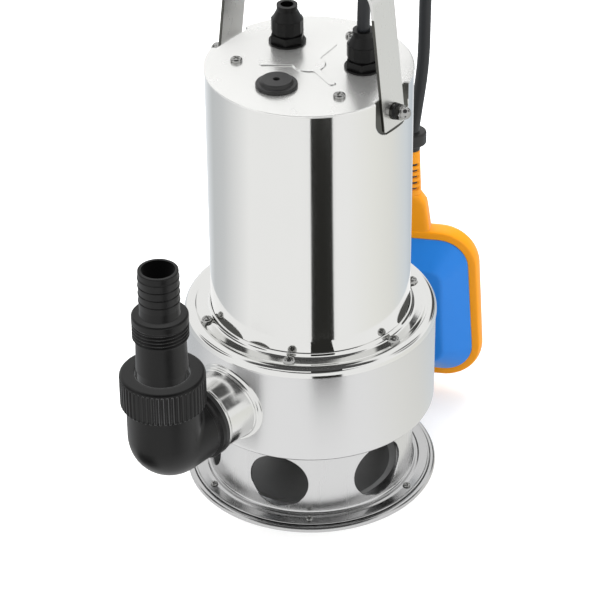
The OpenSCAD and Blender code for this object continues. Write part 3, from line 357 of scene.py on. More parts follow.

# %% [markdown]
# ## The float's cable
#
# A cable is a tube along a smooth curve. It leaves its gland upwards, climbs over the top cover and
# hangs down to the float behind the casing. The curve is a Catmull-Rom spline through the points of
# the CAD's route, and the rings of the tube stand square to it. The cable is the hinge of the float
# too, but this tube is baked in place on no body.

# %% Cable
CABLE_R = 3.8
ROUTE = np.array([
    [25.8, 18.1, 298], [25.8, 18.1, 307], [25.8, 18.2, 317], [25.4, 19.4, 329], [23.9, 24, 342],
    [21, 33, 353], [17, 46, 361], [12.2, 61, 364.5], [7.3, 77, 362], [2.6, 91.5, 354],
    [-0.8, 102.5, 342], [-2.7, 108.8, 328], [-3.2, 110.9, 314], [-3.1, 111, 300],
    [-3, 110.8, 286], [-3, 110.6, 274], [-2.9, 110.3, 262], [-2.8, 110, 250], [-2.9, 109.4, 238],
    [-3.4, 108.4, 226], [-4.2, 107.1, 214], [-5.1, 105.8, 202], [-5.8, 104.8, 192], [-6, 104.4, 184]])


def catmull_rom(points, steps):
    """A smooth curve through all points: each span is the cubic whose slope at a point is half the
    way from the point before to the point after."""
    ends = np.vstack([2 * points[0] - points[1], points, 2 * points[-1] - points[-2]])
    a, b, c, d = (ends[i:len(ends) - 3 + i, None] for i in range(4))
    t = np.linspace(0, 1, steps, endpoint=False)[None, :, None]
    spans = 0.5 * (2 * b + (c - a) * t + (2 * a - 5 * b + 4 * c - d) * t ** 2 + (3 * b - a - 3 * c + d) * t ** 3)
    return np.vstack([spans.reshape(-1, 3), points[-1]])


def tube(path, radius, sides=24, across=(0.954, 0.3, 0)):
    """Rings round each point of a path, square to it, and both ends closed. across is roughly
    sideways."""
    t = unit(np.gradient(path, axis=0))
    u = unit(np.array(across) - (t @ np.array(across))[:, None] * t)
    v = np.cross(t, u)
    a = full_turn(sides)[None, :, None]
    rings = path[:, None] + radius * (u[:, None] * np.cos(a) + v[:, None] * np.sin(a))
    caps = np.repeat(path[[0, -1]][:, None], sides, 1)
    return np.concatenate([caps[:1], rings, caps[1:]])


centre = catmull_rom(ROUTE, 6)
cable = piece("float_cable", [skin(tube(centre, CABLE_R))], "cable_black", body=None)
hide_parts("float_cable_upper", "float_cable_bend", "float_cable_lower")
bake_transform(cable)

# %% [markdown]
# ## Stage and light
#
# Polished metal has hardly a colour of its own: it shows the room. So the room comes first. The
# background is white to the camera, as in a light tent, and reflections see a few dark things in it.
# The unlit ceiling on the camera's side and some dark parts of the walls draw the dark lines into the
# rolled ring. A black card on the floor in front stands as an upright black stripe in the casing.
# Smaller cards lie under the ring and beside the stub. The lamps are large and soft, and the floor
# keeps the pump's shadow.

# %% Floor, room and cards
WHITE = (1, 1, 1, 1)
FLOOR, FLOOR_LIFT = 6.0, 0.3
# azimuth in degrees and tone
WALLS = [(-180, "#FFFFFF"), (-158, "#F4F8FC"), (-128, "#CDD0D2"), (-106, "#D6D8DA"), (-66, "#FFFFFF"), (40, "#FFFFFF"),
         (70, "#F8F8F4"), (96, "#F0F0EC"), (128, "#DDE3E8"), (150, "#C4CCD4"), (166, "#FFFFFF")]
CARD_TONES = {"black_card": "#2C2C2A", "white_card": "#FFFFFF", "dull_card": "#565654"}
RING_IN, RING_OUT, RING_Z, ARC_Z = 0.0626, 0.0768, 0.1186, 0.1187
CARDS = [
    # inner and outer edge, azimuths, height, tone, steps, taper
    ("card_front", 0.229, 0.62, 0.9, 23.7, 0.0006, "black_card", 24, 0),
    ("card_ring", RING_IN, RING_OUT, 14.2, 360, RING_Z, "white_card", 120, 0),
    ("card_stub", 0.165, 0.2375, -64, -38.5, 0.0007, "black_card", 24, 0),
    ("card_arc_0", RING_IN, 0.0695, -76, -44, ARC_Z, "dull_card", 24, 0.6),
    ("card_arc_1", RING_IN, 0.0675, -40, -24, ARC_Z, "dull_card", 24, 0.6),
    ("card_arc_2", RING_IN, 0.071, 64, 100, ARC_Z, "dull_card", 24, 0.6),
    ("card_ring_front", RING_IN, RING_OUT, 0, 14.2, RING_Z, "black_card", 24, 0)]
# azimuth, elevation, reach and fade of the tent's dark parts, in degrees
DARK_PARTS = [(0, 66, 36, 5), (-97, 27, 15, 5), (98, 30, 13, 5), (-40, 38, 7, 3), (144, 9, 14, 5)]


def calc(tree, operation, a, b):
    """One operation on two numbers."""
    return add(tree, "Math", {0: a, 1: b}, operation=operation).outputs[0]


def dot(tree, a, b):
    """The dot product of two vectors."""
    return add(tree, "VectorMath", {0: a, 1: b}, operation="DOT_PRODUCT").outputs["Value"]


def floor_shader(tree):
    """White paint. To the camera its light is lifted, so that it meets the background, and to
    reflections it is a pale ring whose tone changes with the azimuth, as the walls of a studio do."""
    paint = add(tree, "BsdfDiffuse", {"Color": linear("#E6E6E6")}).outputs[0]
    lift = add(tree, "Emission", {"Color": WHITE, "Strength": FLOOR_LIFT}).outputs[0]
    lifted = add(tree, "AddShader", {0: paint, 1: lift}).outputs[0]
    place = add(tree, "TexCoord").outputs["Object"]
    towards = calc(tree, "MULTIPLY", dot(tree, place, (-ahead.x, -ahead.y, 0)), 1 / math.cos(PITCH))
    azimuth = calc(tree, "ARCTAN2", dot(tree, place, side), towards)
    share = add(tree, "MapRange", {"Value": azimuth, "From Min": -math.pi, "From Max": math.pi})
    walls = add(tree, "ValToRGB", {"Fac": share.outputs[0]})
    ramp = walls.color_ramp
    for i, (degrees, colour) in enumerate(WALLS):
        stop = ramp.elements[i] if i < 2 else ramp.elements.new(1)
        stop.position, stop.color = degrees / 360 + 0.5, linear(colour)
    seen = add(tree, "Emission", {"Color": walls.outputs[0]}).outputs[0]
    rays = add(tree, "LightPath").outputs
    plain = add(tree, "MixShader", {0: rays["Is Camera Ray"], 1: paint, 2: lifted}).outputs[0]
    return add(tree, "MixShader", {0: rays["Is Glossy Ray"], 1: plain, 2: seen})


def stage_plane(name, points, quads, material):
    """Flat quads of one material that belong to the stage, in metres."""
    mesh = bpy.data.meshes.new(name)
    mesh.from_pydata(points, [], quads)
    mesh.materials.append(material)
    obj = linked(name, mesh)
    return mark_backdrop(obj) or obj


def wedge(name, near, far, left, right, height, tone, steps, taper):
    """A flat part of a ring between two azimuths, counted from below the camera. With a taper its
    outer edge falls back to the inner one at both ends: near + (far - near) sin(pi t) ** taper."""
    a = np.radians(np.linspace(left, right, steps + 1) + math.degrees(TURN))
    outer = near + (far - near) * np.sin(np.pi * np.linspace(0.02, 0.98, steps + 1)) ** taper
    edges = [polar(r, a, height) for r in (near, outer)]
    quads = [(i, i + 1, steps + 2 + i, steps + 1 + i) for i in range(steps)]
    card = stage_plane(name, np.vstack(edges).tolist(), quads, card_materials[tone])
    card.visible_camera = card.visible_diffuse = card.visible_shadow = card.visible_transmission = False


stage_plane("floor", [(-FLOOR, -FLOOR, 0), (FLOOR, -FLOOR, 0), (FLOOR, FLOOR, 0), (-FLOOR, FLOOR, 0)],
            [(0, 1, 2, 3)], build("white_floor", floor_shader))
card_materials = {name: build(name, lambda tree: add(tree, "Emission", {"Color": linear(tone)}))
                  for name, tone in CARD_TONES.items()}
for card in CARDS:
    wedge(*card)
print(len(CARDS), "cards")

# %% Light tent and lamps
world = bpy.data.worlds.new("light_tent")
bpy.context.scene.world = world
world.use_nodes = True
tent = world.node_tree
tent.nodes.clear()
way = add(tent, "TexCoord").outputs["Generated"]
dark = 0
for azimuth, elevation, reach, fade in DARK_PARTS:
    a, e = math.radians(azimuth) + TURN, math.radians(elevation)
    middle = (math.sin(a) * math.cos(e), -math.cos(a) * math.cos(e), math.sin(e))
    inside = add(tent, "MapRange", {"Value": dot(tent, way, middle), "From Min": math.cos(math.radians(reach + fade)),
                                    "From Max": math.cos(math.radians(reach))}, interpolation_type="SMOOTHSTEP")
    dark = calc(tent, "MAXIMUM", dark, inside.outputs[0])
seen = mix(tent, dark, WHITE, linear("#505050"))
tone = mix(tent, add(tent, "LightPath").outputs["Is Glossy Ray"], WHITE, seen)
back = add(tent, "Background", {"Color": tone})
add(tent, "OutputWorld", {0: back.outputs[0]})
MIDDLE = Vector((0, 0, 0.15))


def lamp(name, place, size, power):
    """A square softbox of an edge length in metres, turned towards the middle of the pump."""
    light = bpy.data.lights.new(name, "AREA")
    light.shape, light.size, light.energy = "SQUARE", size, power
    obj = linked(name, light)
    obj.location = place
    obj.rotation_euler = (MIDDLE - place).to_track_quat("-Z", "Y").to_euler()
    obj.visible_glossy = False


lamp("softbox_left", side * -1.3 - ahead * 0.4 + Vector((0, 0, 1.3)), 1.0, 16)
lamp("softbox_back", ahead * 1.0 + Vector((0, 0, 2.2)), 1.4, 26)
lamp("softbox_right", side * 1.1 - ahead * 0.9 + Vector((0, 0, 0.5)), 0.9, 6)
print("stage ready")

# %% [markdown]
# ## Base plate
#
# The base is one disc of sheet. Its middle is pressed down onto the floor, its rim is rolled over
# so that no edge can cut a hand, and between the two it stands a little off the floor. It is round,
# so it is a profile turned round the axis. Every corner of the profile is softened, because sheet
# can't be folded sharply, and those small arcs catch the thin bright lines.

# %% Base plate
base_profile = soften(
    [[0.01, 0], [50, 0], [54, 1.4], [75, 1.4], [75.4, 0], [78.6, 0], [78.6, 3.2], [75.4, 3.2],
     [75.2, 2.6], [53.5, 2.6], [49.5, 1.2], [0.01, 1.2]],
    [0, 1.5, 2, 0.1, 0.1, 0.6, 2.3, 0.7, 0.1, 1.5, 2, 0])
base = piece("base_skin", [skin(lathe(base_profile, 240), True)], "dull", ["base_plate"])
# The base's middle, under the strainer, is painted darker as painted shade.
recolour(base, "painted_shade_inside", lambda x, y, z: np.hypot(x, y) < 63)

# %% [markdown]
# ## Strainer
#
# The strainer is a deep-drawn cup with six large round holes. A round hole in a round wall needs
# rows that follow the hole. So each sixth of the wall is a rectangle whose border points are joined
# to points on the hole, and this flat pattern is then wrapped onto the cylinder. The foot and the
# shoulder are profiles turned round the axis with as many columns, so that all of them merge. The
# skin is open, and Solidify gives it the thickness of the sheet.

# %% Strainer
def pierced(radius, low, high, hole_r, hole_z, azimuth, spread, columns, rows, depth=8):
    """A part of a cylinder wall with a round hole: border points b of a rectangle, hole points h in
    the direction of b, and between them b + s (h - b). Wrapped by azimuth = x / radius."""
    half = math.radians(spread) / 2 * radius
    x, z = np.linspace(-half, half, columns + 1), np.linspace(low, high, rows + 1)
    edges = (x[:-1], low), (half, z[:-1]), (x[:0:-1], high), (-half, z[:0:-1])
    border = np.concatenate([grid(*edge) for edge in edges]) - [0, hole_z]
    hole = unit(border) * hole_r
    s = np.linspace(0, 1, depth + 1)[:, None, None]
    flat = border + (1 - (1 - s) ** 1.5) * (hole - border)
    return polar(radius, flat[..., 0] / radius + math.radians(azimuth), flat[..., 1] + hole_z)


STRAINER_R, HOLE_R, HOLE_Z = 64, 19, 26
wall = [skin(pierced(STRAINER_R, 6.8, 49.6, HOLE_R, HOLE_Z, 22.5 + 60 * i, 60, 72, 54, 16)) for i in range(6)]
foot = [[74.9, 3.2], [75, 3.7], [74.95, 4], [74.75, 4.2], [74.4, 4.28], [74, 4.15], [73.6, 3.88], [73.2, 3.8],
        [69, 3.8], [68.5, 3.88], [68, 4.15], [67.5, 4.5], [66.9, 4.7], [66.3, 4.62], [65.8, 4.45], [65.3, 4.42],
        [64.85, 4.62], [64.4, 5.15], [64.1, 5.9], [64, 6.8]]
shoulder = np.vstack([arc([61, 49.6], 3, 0, 90, 6), [52, 52.6]])
strips = [skin(turned(lathe(strip, 432), -7.5)) for strip in (foot, shoulder)]
# The strainer's inner face is painted darker as painted shade.
strainer = piece("strainer_skin", wall + strips, "base_steel", ["strainer_cup"], sheet=1.2, inside="painted_shade_inside")
recolour(strainer, "dull", lambda x, y, z: z < 5)

# %% [markdown]
# ## Volute drum and outlet stub
#
# The drum is made in the same way, with one hole where the stub is let in. The stub is a tube that
# meets the drum in a saddle. Its rows start on the drum, at a depth that follows the drum's
# curve, swell over the weld, and become flat rings towards the elbow.

# %% Drum
DRUM_R, DRUM_LOW, DRUM_TOP, OUTLET_Z = 76.8, 55.6, 115.5, 84
hole = skin(pierced(DRUM_R, DRUM_LOW, DRUM_TOP, 22.85, OUTLET_Z, 0, 60, 40, 30))
edge = grid(DRUM_R, np.linspace(DRUM_LOW, DRUM_TOP, 31))
closed = lathe(edge, 240)[:, 20:221]
floor_edge = np.vstack([[20, 52.6], [66, 52.6], arc([73.8, 55.6], 3, 270, 360, 8)])
# The drum's inner face is painted darker as painted shade.
piece("drum_skin", [hole, skin(closed, close_cols=False), skin(lathe(floor_edge, 240))],
      "drum_steel", ["volute_drum"], sheet=1.2, inside="painted_shade_inside")

# %% Stub and weld
STUB_R, STUB_IN, STUB_END = 22.75, 21.5, 99.4


def saddle_tube(rows, steps=144):
    """Rings round the outlet's axis. A row is (radius, distance, flatness): with flatness 0 the
    distance is measured outwards from the drum's surface, with 1 from the pump's axis."""
    t = full_turn(steps)
    r, far, flat = np.array(rows, float).T[:, :, None]
    x, z = r * np.cos(t), OUTLET_Z + r * np.sin(t)
    drum = np.sqrt(DRUM_R ** 2 - x ** 2)
    return grid(x, -(drum * (1 - flat) + far), z)


weld = [[21.5, -6, 0], [22.8, -6, 0], [25.4, -0.3, 0], [25.3, 0.35, 0], [24.9, 0.8, 0], [24.3, 1.05, 0],
        [23.7, 1.15, 0], [23.3, 1.45, 0], [23.05, 2.1, 0], [22.95, 2.7, 0], [23.25, 3.1, 0], [23.3, 3.6, 0],
        [23.1, 4.1, 0], [22.8, 4.4, 0]]
barrel = [[STUB_R, 84.5, 1], [STUB_R, 96.6, 1], [22.95, 97.2, 1], [23.25, 97.8, 1], [23.4, 98.5, 1], [23.3, 99.1, 1],
          [22.9, STUB_END, 1], [21.9, STUB_END, 1], [STUB_IN, 99.0, 1], [STUB_IN, 84, 1]]
piece("stub_skin", [skin(saddle_tube(weld + barrel), True)], "buffed", ["outlet_stub"])

# %% [markdown]
# ## Cover ring
#
# The ring that holds the motor to the drum is rolled and polished. Each of its curves, the lip at
# the casing, the flat with the screws and the round bead, draws the whole room into a thin line. So
# its profile has many points, and it is turned in 288 steps.

# %% Cover ring
BEAD, BEAD_R = np.array([72.6, 115.1]), 4.8
ring_out = np.vstack([[[61.15, 117.5], [61.15, 121.7], [61.35, 122.0], [61.9, 122.0], [62.25, 121.8], [62.4, 121.4]],
                      arc([64.4, 120.9], 2.0, 180, 262, 8) + [0, -0.2], [[64.9, 118.72], [68.2, 118.7], [69, 118.78]],
                      arc(BEAD, BEAD_R, 124, 0, 22), [[77.4, 114.4], [77.2, 114.2], [76.95, 114.2]],
                      arc(BEAD, BEAD_R - 1.2, 0, 136, 12) + [0, 0.3]])
piece("ring_skin", [skin(lathe(ring_out, 288), True)], "polished", ["cover_ring"])

# %% [markdown]
# ## Motor casing
#
# The casing is a tube with a flat pocket pressed into it for each foot of the handle. Its radius is
# a function of azimuth and height: the tube's radius, or inside the pocket the smaller radius at
# which the strap's leaning back plane lies, with a soft step of about a millimetre between them.

# %% Casing
CASING_R, CASING_LOW, CASING_TOP, LID_TOP = 61, 112, 281.4, 282.6
FOOT_TURN, LEAN, STRAP_T, STRAP_W = 5, math.radians(6.75), 2, 21
BOLT_Z, STRAP_END, POCKET_DEPTH = 271.5, 10, STRAP_T + 0.1
STRAP_X = CASING_R - STRAP_END * math.tan(LEAN)


def leaning(z, depth):
    """Distance from the axis, at a height, of the plane a depth behind the strap's outer face."""
    return STRAP_X - (z - BOLT_Z) * math.tan(LEAN) - depth / math.cos(LEAN)


def pocket_mask(b, z):
    """1 inside the pocket, 0 outside: a rounded rectangle, from its signed distance in millimetres."""
    y, down = CASING_R * np.sin(b), (BOLT_Z - z) / math.cos(LEAN)
    over_y, over_d = np.abs(y) - (16 - 9), down - (11.5 - 9)
    outside = np.hypot(np.maximum(over_y, 0), np.maximum(over_d, 0)) + np.minimum(np.maximum(over_y, over_d), 0) - 9
    return smooth(0.5 - outside / 1.1)


def casing_radius(b, z):
    """The tube's radius, drawn back to the plane P / cos b inside the pocket."""
    pressed = np.minimum(CASING_R, leaning(z, POCKET_DEPTH) / np.cos(b))
    return CASING_R - pocket_mask(b, z) * (CASING_R - pressed)


near = np.radians(np.linspace(-20, 20, 121))
away = np.radians(np.linspace(20, 160, 71)[1:-1])
b = np.concatenate([near, away, near + np.pi, away + np.pi])
from_foot = (b + np.pi / 2) % np.pi - np.pi / 2
z = np.concatenate([np.linspace(CASING_LOW, 256, 8)[:-1], np.linspace(256, CASING_TOP, 70)])[:, None]
r = casing_radius(from_foot[None, :], z)
around = b[None, :] + math.radians(90 + FOOT_TURN)
casing = piece("casing_skin", [skin(polar(r, around, z))], "casing_steel", ["motor_casing"], sheet=1)
# The pocket's faces are painted dark as painted shade, for the shade in the pocket.
recolour(casing, "pressed", lambda x, y, z: (np.hypot(x, y) < CASING_R - 0.2) & (z > 255))

# %% [markdown]
# ## Top cover
#
# The cover is a flat disc with a star pressed up in the middle to stiffen it. In polar form the
# star's outline is the larger of a disc and three arms, added as a high power so that the corners
# between them are filleted. The rows run out from the middle: over the star, down its soft edge, over
# the flat and round the rim, which has a notch for each foot of the handle.

# %% Top cover
STAR_R, ARM_HALF, ARM_REACH, STAR_H, STAR_TURN = 9.6, 2.1, 27, 0.7, 5


def star_outline(a):
    """Radius of the star at an azimuth: (disc^9 + arm^9)^(1/9), where an arm is two straight sides
    ARM_HALF from its middle and a round end."""
    off = (a - math.radians(STAR_TURN)) % (2 * np.pi / 3) - np.pi / 3
    side = ARM_HALF / np.maximum(np.abs(np.sin(off)), 1e-3)
    end = ARM_REACH * np.cos(off) + np.sqrt(np.maximum(ARM_HALF ** 2 - (ARM_REACH * np.sin(off)) ** 2, 0))
    arm = np.where(np.abs(np.tan(off)) < ARM_HALF / ARM_REACH, end, side)
    return (STAR_R ** 9 + arm ** 9) ** (1 / 9)


def rim_outline(a, inset):
    """Radius of the cover's rim at an azimuth: 61.4, or the pocket's plane where a foot stands."""
    off = a % np.pi - np.pi / 2
    cut = smooth(0.5 - (np.degrees(np.abs(off)) - 15.5) / 0.7)
    return 61.4 - inset - cut * np.maximum(61.4 - leaning(LID_TOP, POCKET_DEPTH) / np.cos(off), 0)


arm = np.concatenate([np.linspace(-14, -4.4, 30), np.linspace(-4.2, 4.2, 19), np.linspace(4.4, 14, 30)])
flat = np.linspace(14, 106, 62)[1:-1]
a = np.radians(np.concatenate([c + part for c in (65, 185, 305) for part in (arm, flat)]))
notches = [np.radians(np.linspace(*ends, 8)) for ends in ((74.3, 76), (104, 105.9), (254.2, 256), (284, 285.9))]
a = np.sort(np.concatenate([a, *notches]))
ray = grid(np.sin(a), -np.cos(a))
star = star_outline(a)[:, None] * ray
run = np.roll(star, -1, 0) - np.roll(star, 1, 0)
out = unit(grid(run[:, 1], -run[:, 0]))
out *= np.sign((out * star).sum(1, keepdims=True))


def at(points, height):
    """Points of the plane at one height."""
    return np.concatenate([points, np.full((len(points), 1), height)], -1)


slope = [(-0.5, 1), (-0.36, 0.96), (-0.18, 0.8), (0, 0.5), (0.18, 0.2), (0.36, 0.04), (0.5, 0)]
rows = [at(star * 0, LID_TOP + STAR_H), at(star * 0.5, LID_TOP + STAR_H)]
rows += [at(star + out * w, LID_TOP + STAR_H * h) for w, h in slope]
rows += [at(rim_outline(a, inset)[:, None] * ray, height) for inset, height in
         ((1.2, LID_TOP), (0.5, LID_TOP), (0.2, LID_TOP - 0.08), (0.04, LID_TOP - 0.25), (0, LID_TOP - 0.5),
          (0, CASING_TOP + 0.12), (0.1, CASING_TOP), (1.2, CASING_TOP))]
rows += [at(star * 0, CASING_TOP)]
piece("cover_skin", [skin(turned(np.array(rows), FOOT_TURN))], "lid_steel", ["top_cover"])

# %% [markdown]
# ## Elbow
#
# The elbow is moulded in one piece: a level leg, a tight turn and an upright leg. Seen round its
# section, each line along the elbow turns with its own radius: large on the outside, and on the
# inside, where the two legs would cut each other, only the small radius of the mould's corner. Both
# are one formula, a soft maximum, so the surface runs through without a seam.

# %% Elbow
ELBOW_R, BEND_Y, BEND_Z, BEND, LEG_Y = 22, 123.5, 91, 7, 130.5


def elbow_rows(r, t, corner=3.0, soft=2.0):
    """The turn of a tube of radius r. A line at height z0 - rho on the level leg, rho = BEND - r cos t,
    goes over into the upright at y0 + rho by an arc of radius q = max(rho, corner), made soft."""
    rho = BEND - r * np.cos(t)
    q = (rho + corner + np.sqrt((rho - corner) ** 2 + soft ** 2)) / 2
    turn = np.radians(np.linspace(-90, 0, 25))[:, None]
    y = BEND_Y + rho - q + q * np.cos(turn)
    z = BEND_Z - rho + q + q * np.sin(turn)
    return grid(r * np.sin(t), -y, z)


collar = [(0.01, 101.9), (23.1, 101.9), (23.42, 102.02), (23.5, 102.3), (23.5, 104.6), (23.42, 104.88), (23.1, 105),
          (21.4, 105), (21.1, 105.1), (21, 105.4), (21, 107), (21.1, 107.35), (21.4, 107.45), (21.75, 107.5),
          (22, 107.8)]
upper = [(22, 112.6), (21.6, 112.9), (21.5, 113.4), (21.5, 125.8), (21.2, 126), (17.8, 126), (17.5, 125.7), (17.5, 112),
         (0.01, 110)]
t = full_turn(120)
r, y = np.array(collar).T[:, :, None]
level = grid(r * np.sin(t), -y, OUTLET_Z + r * np.cos(t))
r, z = np.array(upper).T[:, :, None]
upright = grid(r * np.sin(t), -LEG_Y + r * np.cos(t), z)
elbow = np.concatenate([level, elbow_rows(ELBOW_R, t), upright])
piece("elbow_skin", [skin(elbow)], "black_plastic", ["elbow"], sharp=50)

# %% [markdown]
# ## Union nut
#
# The nut is a profile turned round its axis whose radius also depends on the azimuth: 54 grooves are
# taken out of it, which fade out towards the rounded upper edge and the chamfer below. A groove is a
# soft step of the azimuth, so every rib has two small edges that catch the light.

# %% Union nut
RIBS, GROOVE = 54, 1.15
nut_profile = np.vstack([[[21.8, 130.8], [21.8, 113.7], [22, 113.5], [24.1, 113.5]],
                         arc([24.1, 114.75], 1.25, -90, 0, 4),
                         grid(25.35, np.linspace(115.4, 131.8, 15)),
                         arc([23.2, 132.65], 2.15, 0, 90, 7), [[19, 134.8], [17.0, 134.8]],
                         arc([17.0, 133.95], 0.85, 90, 180, 4), [[16.15, 130.9], [16.3, 130.8]]])
a = full_turn(RIBS * 10)
wave = np.abs((a * RIBS / (2 * np.pi)) % 1 - 0.5) * 2
groove = smooth((0.47 - wave) / 0.28 + 0.5)
r, z = nut_profile[:, :1], nut_profile[:, 1:]
r = r - GROOVE * groove * (r > 23.4) * smooth((z - 113.7) / 1.1) * smooth((133.4 - z) / 1.3)
nut = polar(r, a, z) - [0, LEG_Y, 0]
piece("nut_skin", [skin(nut, True)], "black_plastic", ["union_nut"], body="union_nut")

# %% [markdown]
# ## Hose nozzle
#
# One nozzle fits three hoses: a thin one on the upper barbs, a wide one on the lower barb, and a
# threaded one between them. Barbs are steps of the profile. The thread is a real helix: its depth
# depends on the height and on the azimuth together, and it runs out softly at both ends.

# %% Hose nozzle
PITCH_G1, THREAD_LOW, THREAD_TOP = 2.309, 160.4, 171
SMALL_LOW, NOZZLE_TOP = 175.5, 205


def nozzle_profile():
    """The nozzle from its lower inner edge, round the outside, to the bore and down again."""
    step = (29.5 - 9) / 4
    barbs = np.concatenate([[[11.75, z0 + 0.1], [11.8, z0 + 0.6], [12.05, z0 + step - 1.3], [12.2, z0 + step - 0.75],
                             [12.17, z0 + step - 0.35], [11.9, z0 + step - 0.1]]
                            for z0 in SMALL_LOW + 5 + step * np.arange(4)])
    thread = grid(16.62, np.linspace(THREAD_LOW, THREAD_TOP, 56))
    return np.vstack([[[9.3, 127.8], [21, 127.8], [21.2, 128], [21.2, 130.3], [21, 130.5], [15.3, 130.5], [14.6, 130.9],
                       [14.45, 131.5], [14.5, 137.6], [14.8, 137.95], [15.3, 138.05], [15.35, 138.4], [15.1, 148],
                       [14.85, 157], [14.8, 159.4], [15.1, 160]], thread,
                      [[16.62, 171.4], [16.62, 174.2]], arc([15.4, 174.3], 1.22, 0, 90, 6),
                      [[13, 175.52], [12.0, 175.6], [11.8, 176]], barbs,
                      [[11.8, 201.4], [11.85, 203.6], [11.8, 204.3]], arc([11.25, 204.45], 0.55, 0, 90, 4),
                      [[9.75, NOZZLE_TOP], [9.45, 204.9], [9.3, 204.6], [9.3, 150]]])


profile = nozzle_profile()
a = full_turn(216)
r, z = profile[:, :1], profile[:, 1:]
turn_of_thread = np.abs(((z - THREAD_LOW) / PITCH_G1 - a / (2 * np.pi)) % 1 - 0.5) * 2
fading = smooth((z - THREAD_LOW + 0.6) / 1.2), smooth((THREAD_TOP - z) / 1.2)
cut = smooth((0.52 - turn_of_thread) / 0.7 + 0.4) * fading[0] * fading[1]
r = r - 1.05 * cut * ((z > THREAD_LOW - 0.3) & (z < THREAD_TOP + 0.1) & (r > 16))
nozzle = polar(r, a, z) - [0, LEG_Y, 0]
nozzle = piece("nozzle_skin", [skin(nozzle, True)], "black_plastic", ["hose_nozzle"])
# The inside of the bore is painted near black as painted shade.
recolour(nozzle, "bore", lambda x, y, z: (np.hypot(x, y + LEG_Y) < 9.6) & (z > 140))

# %% [markdown]
# ## Handle
#
# A strap of sheet, 21 mm wide, is bent over a round bar in two places. Its section, a flat rectangle
# with rounded edges, is carried along the middle line of the bend, and it narrows within the last
# millimetre and a half of each foot, which rounds the corners.

# %% Handle
STRAP_TOP, STRAP_BEND, FOOT_ROUND, LEG_TOP = 350, 12, 1.5, 322


def strap_line():
    """Middle line of the strap in its plane and the direction that points out of it."""
    bend, lean = STRAP_BEND + STRAP_T / 2, math.degrees(LEAN)
    low, high = BOLT_Z - STRAP_END, STRAP_TOP - STRAP_T / 2 - bend
    s = np.array([0, 0.15, 0.4, 0.8, 1.5, 3, 20, 50, 70])[:, None]
    leg = np.array([leaning(low, STRAP_T / 2), low]) + s * [-math.sin(LEAN), math.cos(LEAN)]
    bow = arc([leaning(high, STRAP_T / 2 + bend), high], bend, lean, 90, 18)
    bow_face = arc([0, 0], 1, lean, 90, 18)
    half = np.vstack([leg, bow])
    face = np.vstack([np.repeat(bow_face[:1], len(leg), 0), bow_face])
    flip = np.array([-1, 1])
    return np.vstack([half, half[::-1] * flip]), np.vstack([face, face[::-1] * flip])


line, face = strap_line()
half = STRAP_W / 2
section = soften([[-1, -half], [1, -half], [1, half], [-1, half]], 0.4, 4)
run = np.r_[0, np.cumsum(np.linalg.norm(np.diff(line, axis=0), axis=1))]
from_end = np.minimum(run, run[::-1])[:, None]
corner = FOOT_ROUND - np.sqrt(np.maximum(FOOT_ROUND ** 2 - np.maximum(FOOT_ROUND - from_end, 0) ** 2, 0))
width = section[:, 1] * (half - corner) / half
strap = grid(line[:, :1] + section[:, 0] * face[:, :1], width, line[:, 1:] + section[:, 0] * face[:, 1:])
ends = [np.repeat(np.array([[[line[i, 0], 0, line[i, 1]]]]), len(section), 1) for i in (0, -1)]
strap = turned(np.concatenate([ends[0], strap, ends[1]]), FOOT_TURN)
handle = piece("handle_skin", [skin(strap)], "handle_steel", ["handle"])
turn = math.radians(FOOT_TURN)
# The cut edges of the legs are painted dark as painted shade, like the pocket beside them.
recolour(handle, "pressed", lambda x, y, z: (abs(y * math.cos(turn) - x * math.sin(turn)) > half - 0.2) & (z < LEG_TOP))

# %% [markdown]
# ## Screws and nuts
#
# Every screw head is a dish of height h over its polar coordinates, with a cross pressed into it.
# The cross is cut with its signed distance, the distance to the nearer of its two bars, so its edge
# is soft. No two screws end up at the same angle. The nuts of the handle are hexagons whose
# corners are cut back by a cone, with a dome on top.

# %% Screws
def pan_head(r, h, turn):
    """Height of a pan head over (distance, azimuth): h (1 - (d / r)^4)^(1/2), less the cross."""
    a = full_turn(56)
    d = np.r_[0.001, np.linspace(0.08, 0.8, 13), 0.9, 0.96, 0.99, 1][:, None] * r
    x, y = np.abs(d * np.cos(a)), np.abs(d * np.sin(a))
    bar, reach = 0.15 * r, 0.62 * r
    apart = np.minimum(np.maximum(x - reach, y - bar), np.maximum(y - reach, x - bar))
    pressed = smooth(0.5 - apart / (0.12 * r)) * (0.62 - 0.35 * d / r)
    z = h * (0.35 + 0.65 * np.sqrt(np.maximum(1 - (d / r) ** 4, 0))) - h * pressed
    top = grid(d * np.cos(a + turn), d * np.sin(a + turn), z)
    foot = top[-1:] * [1, 1, 0] + [0, 0, -0.2]
    return np.concatenate([top, foot])


def ring_of_heads(count, distance, first, z, r, h):
    """Heads round the axis, each turned by its own angle."""
    heads = [pan_head(r, h, 2.4 * i + 0.7) + [0, -distance, z] for i in range(count)]
    return [skin(turned(head, first + 360 * i / count)) for i, head in enumerate(heads)]


piece("ring_screws_skin", ring_of_heads(6, 66.3, 30, 118.68, 3.3, 2.5), "bright_steel", ["cover_ring_screws"])
piece("cover_screws_skin", ring_of_heads(3, 42.5, 60 + FOOT_TURN, 282.58, 3.6, 2.5), "bright_steel",
      ["top_cover_screws"])
piece("base_screws_skin", ring_of_heads(6, 69.5, -20, 3.78, 2.35, 1.45), "bright_steel", ["base_screws"])

# %% Acorn nuts
def at_foot(points, side):
    """Points in the frame of a handle foot: +z out of the strap, +x down along it."""
    x, y, z = np.moveaxis(points, -1, 0)
    s, c = math.sin(LEAN), math.cos(LEAN)
    return turned(grid(STRAP_X + x * s + z * c, y, BOLT_Z - x * c + z * s), FOOT_TURN + side)


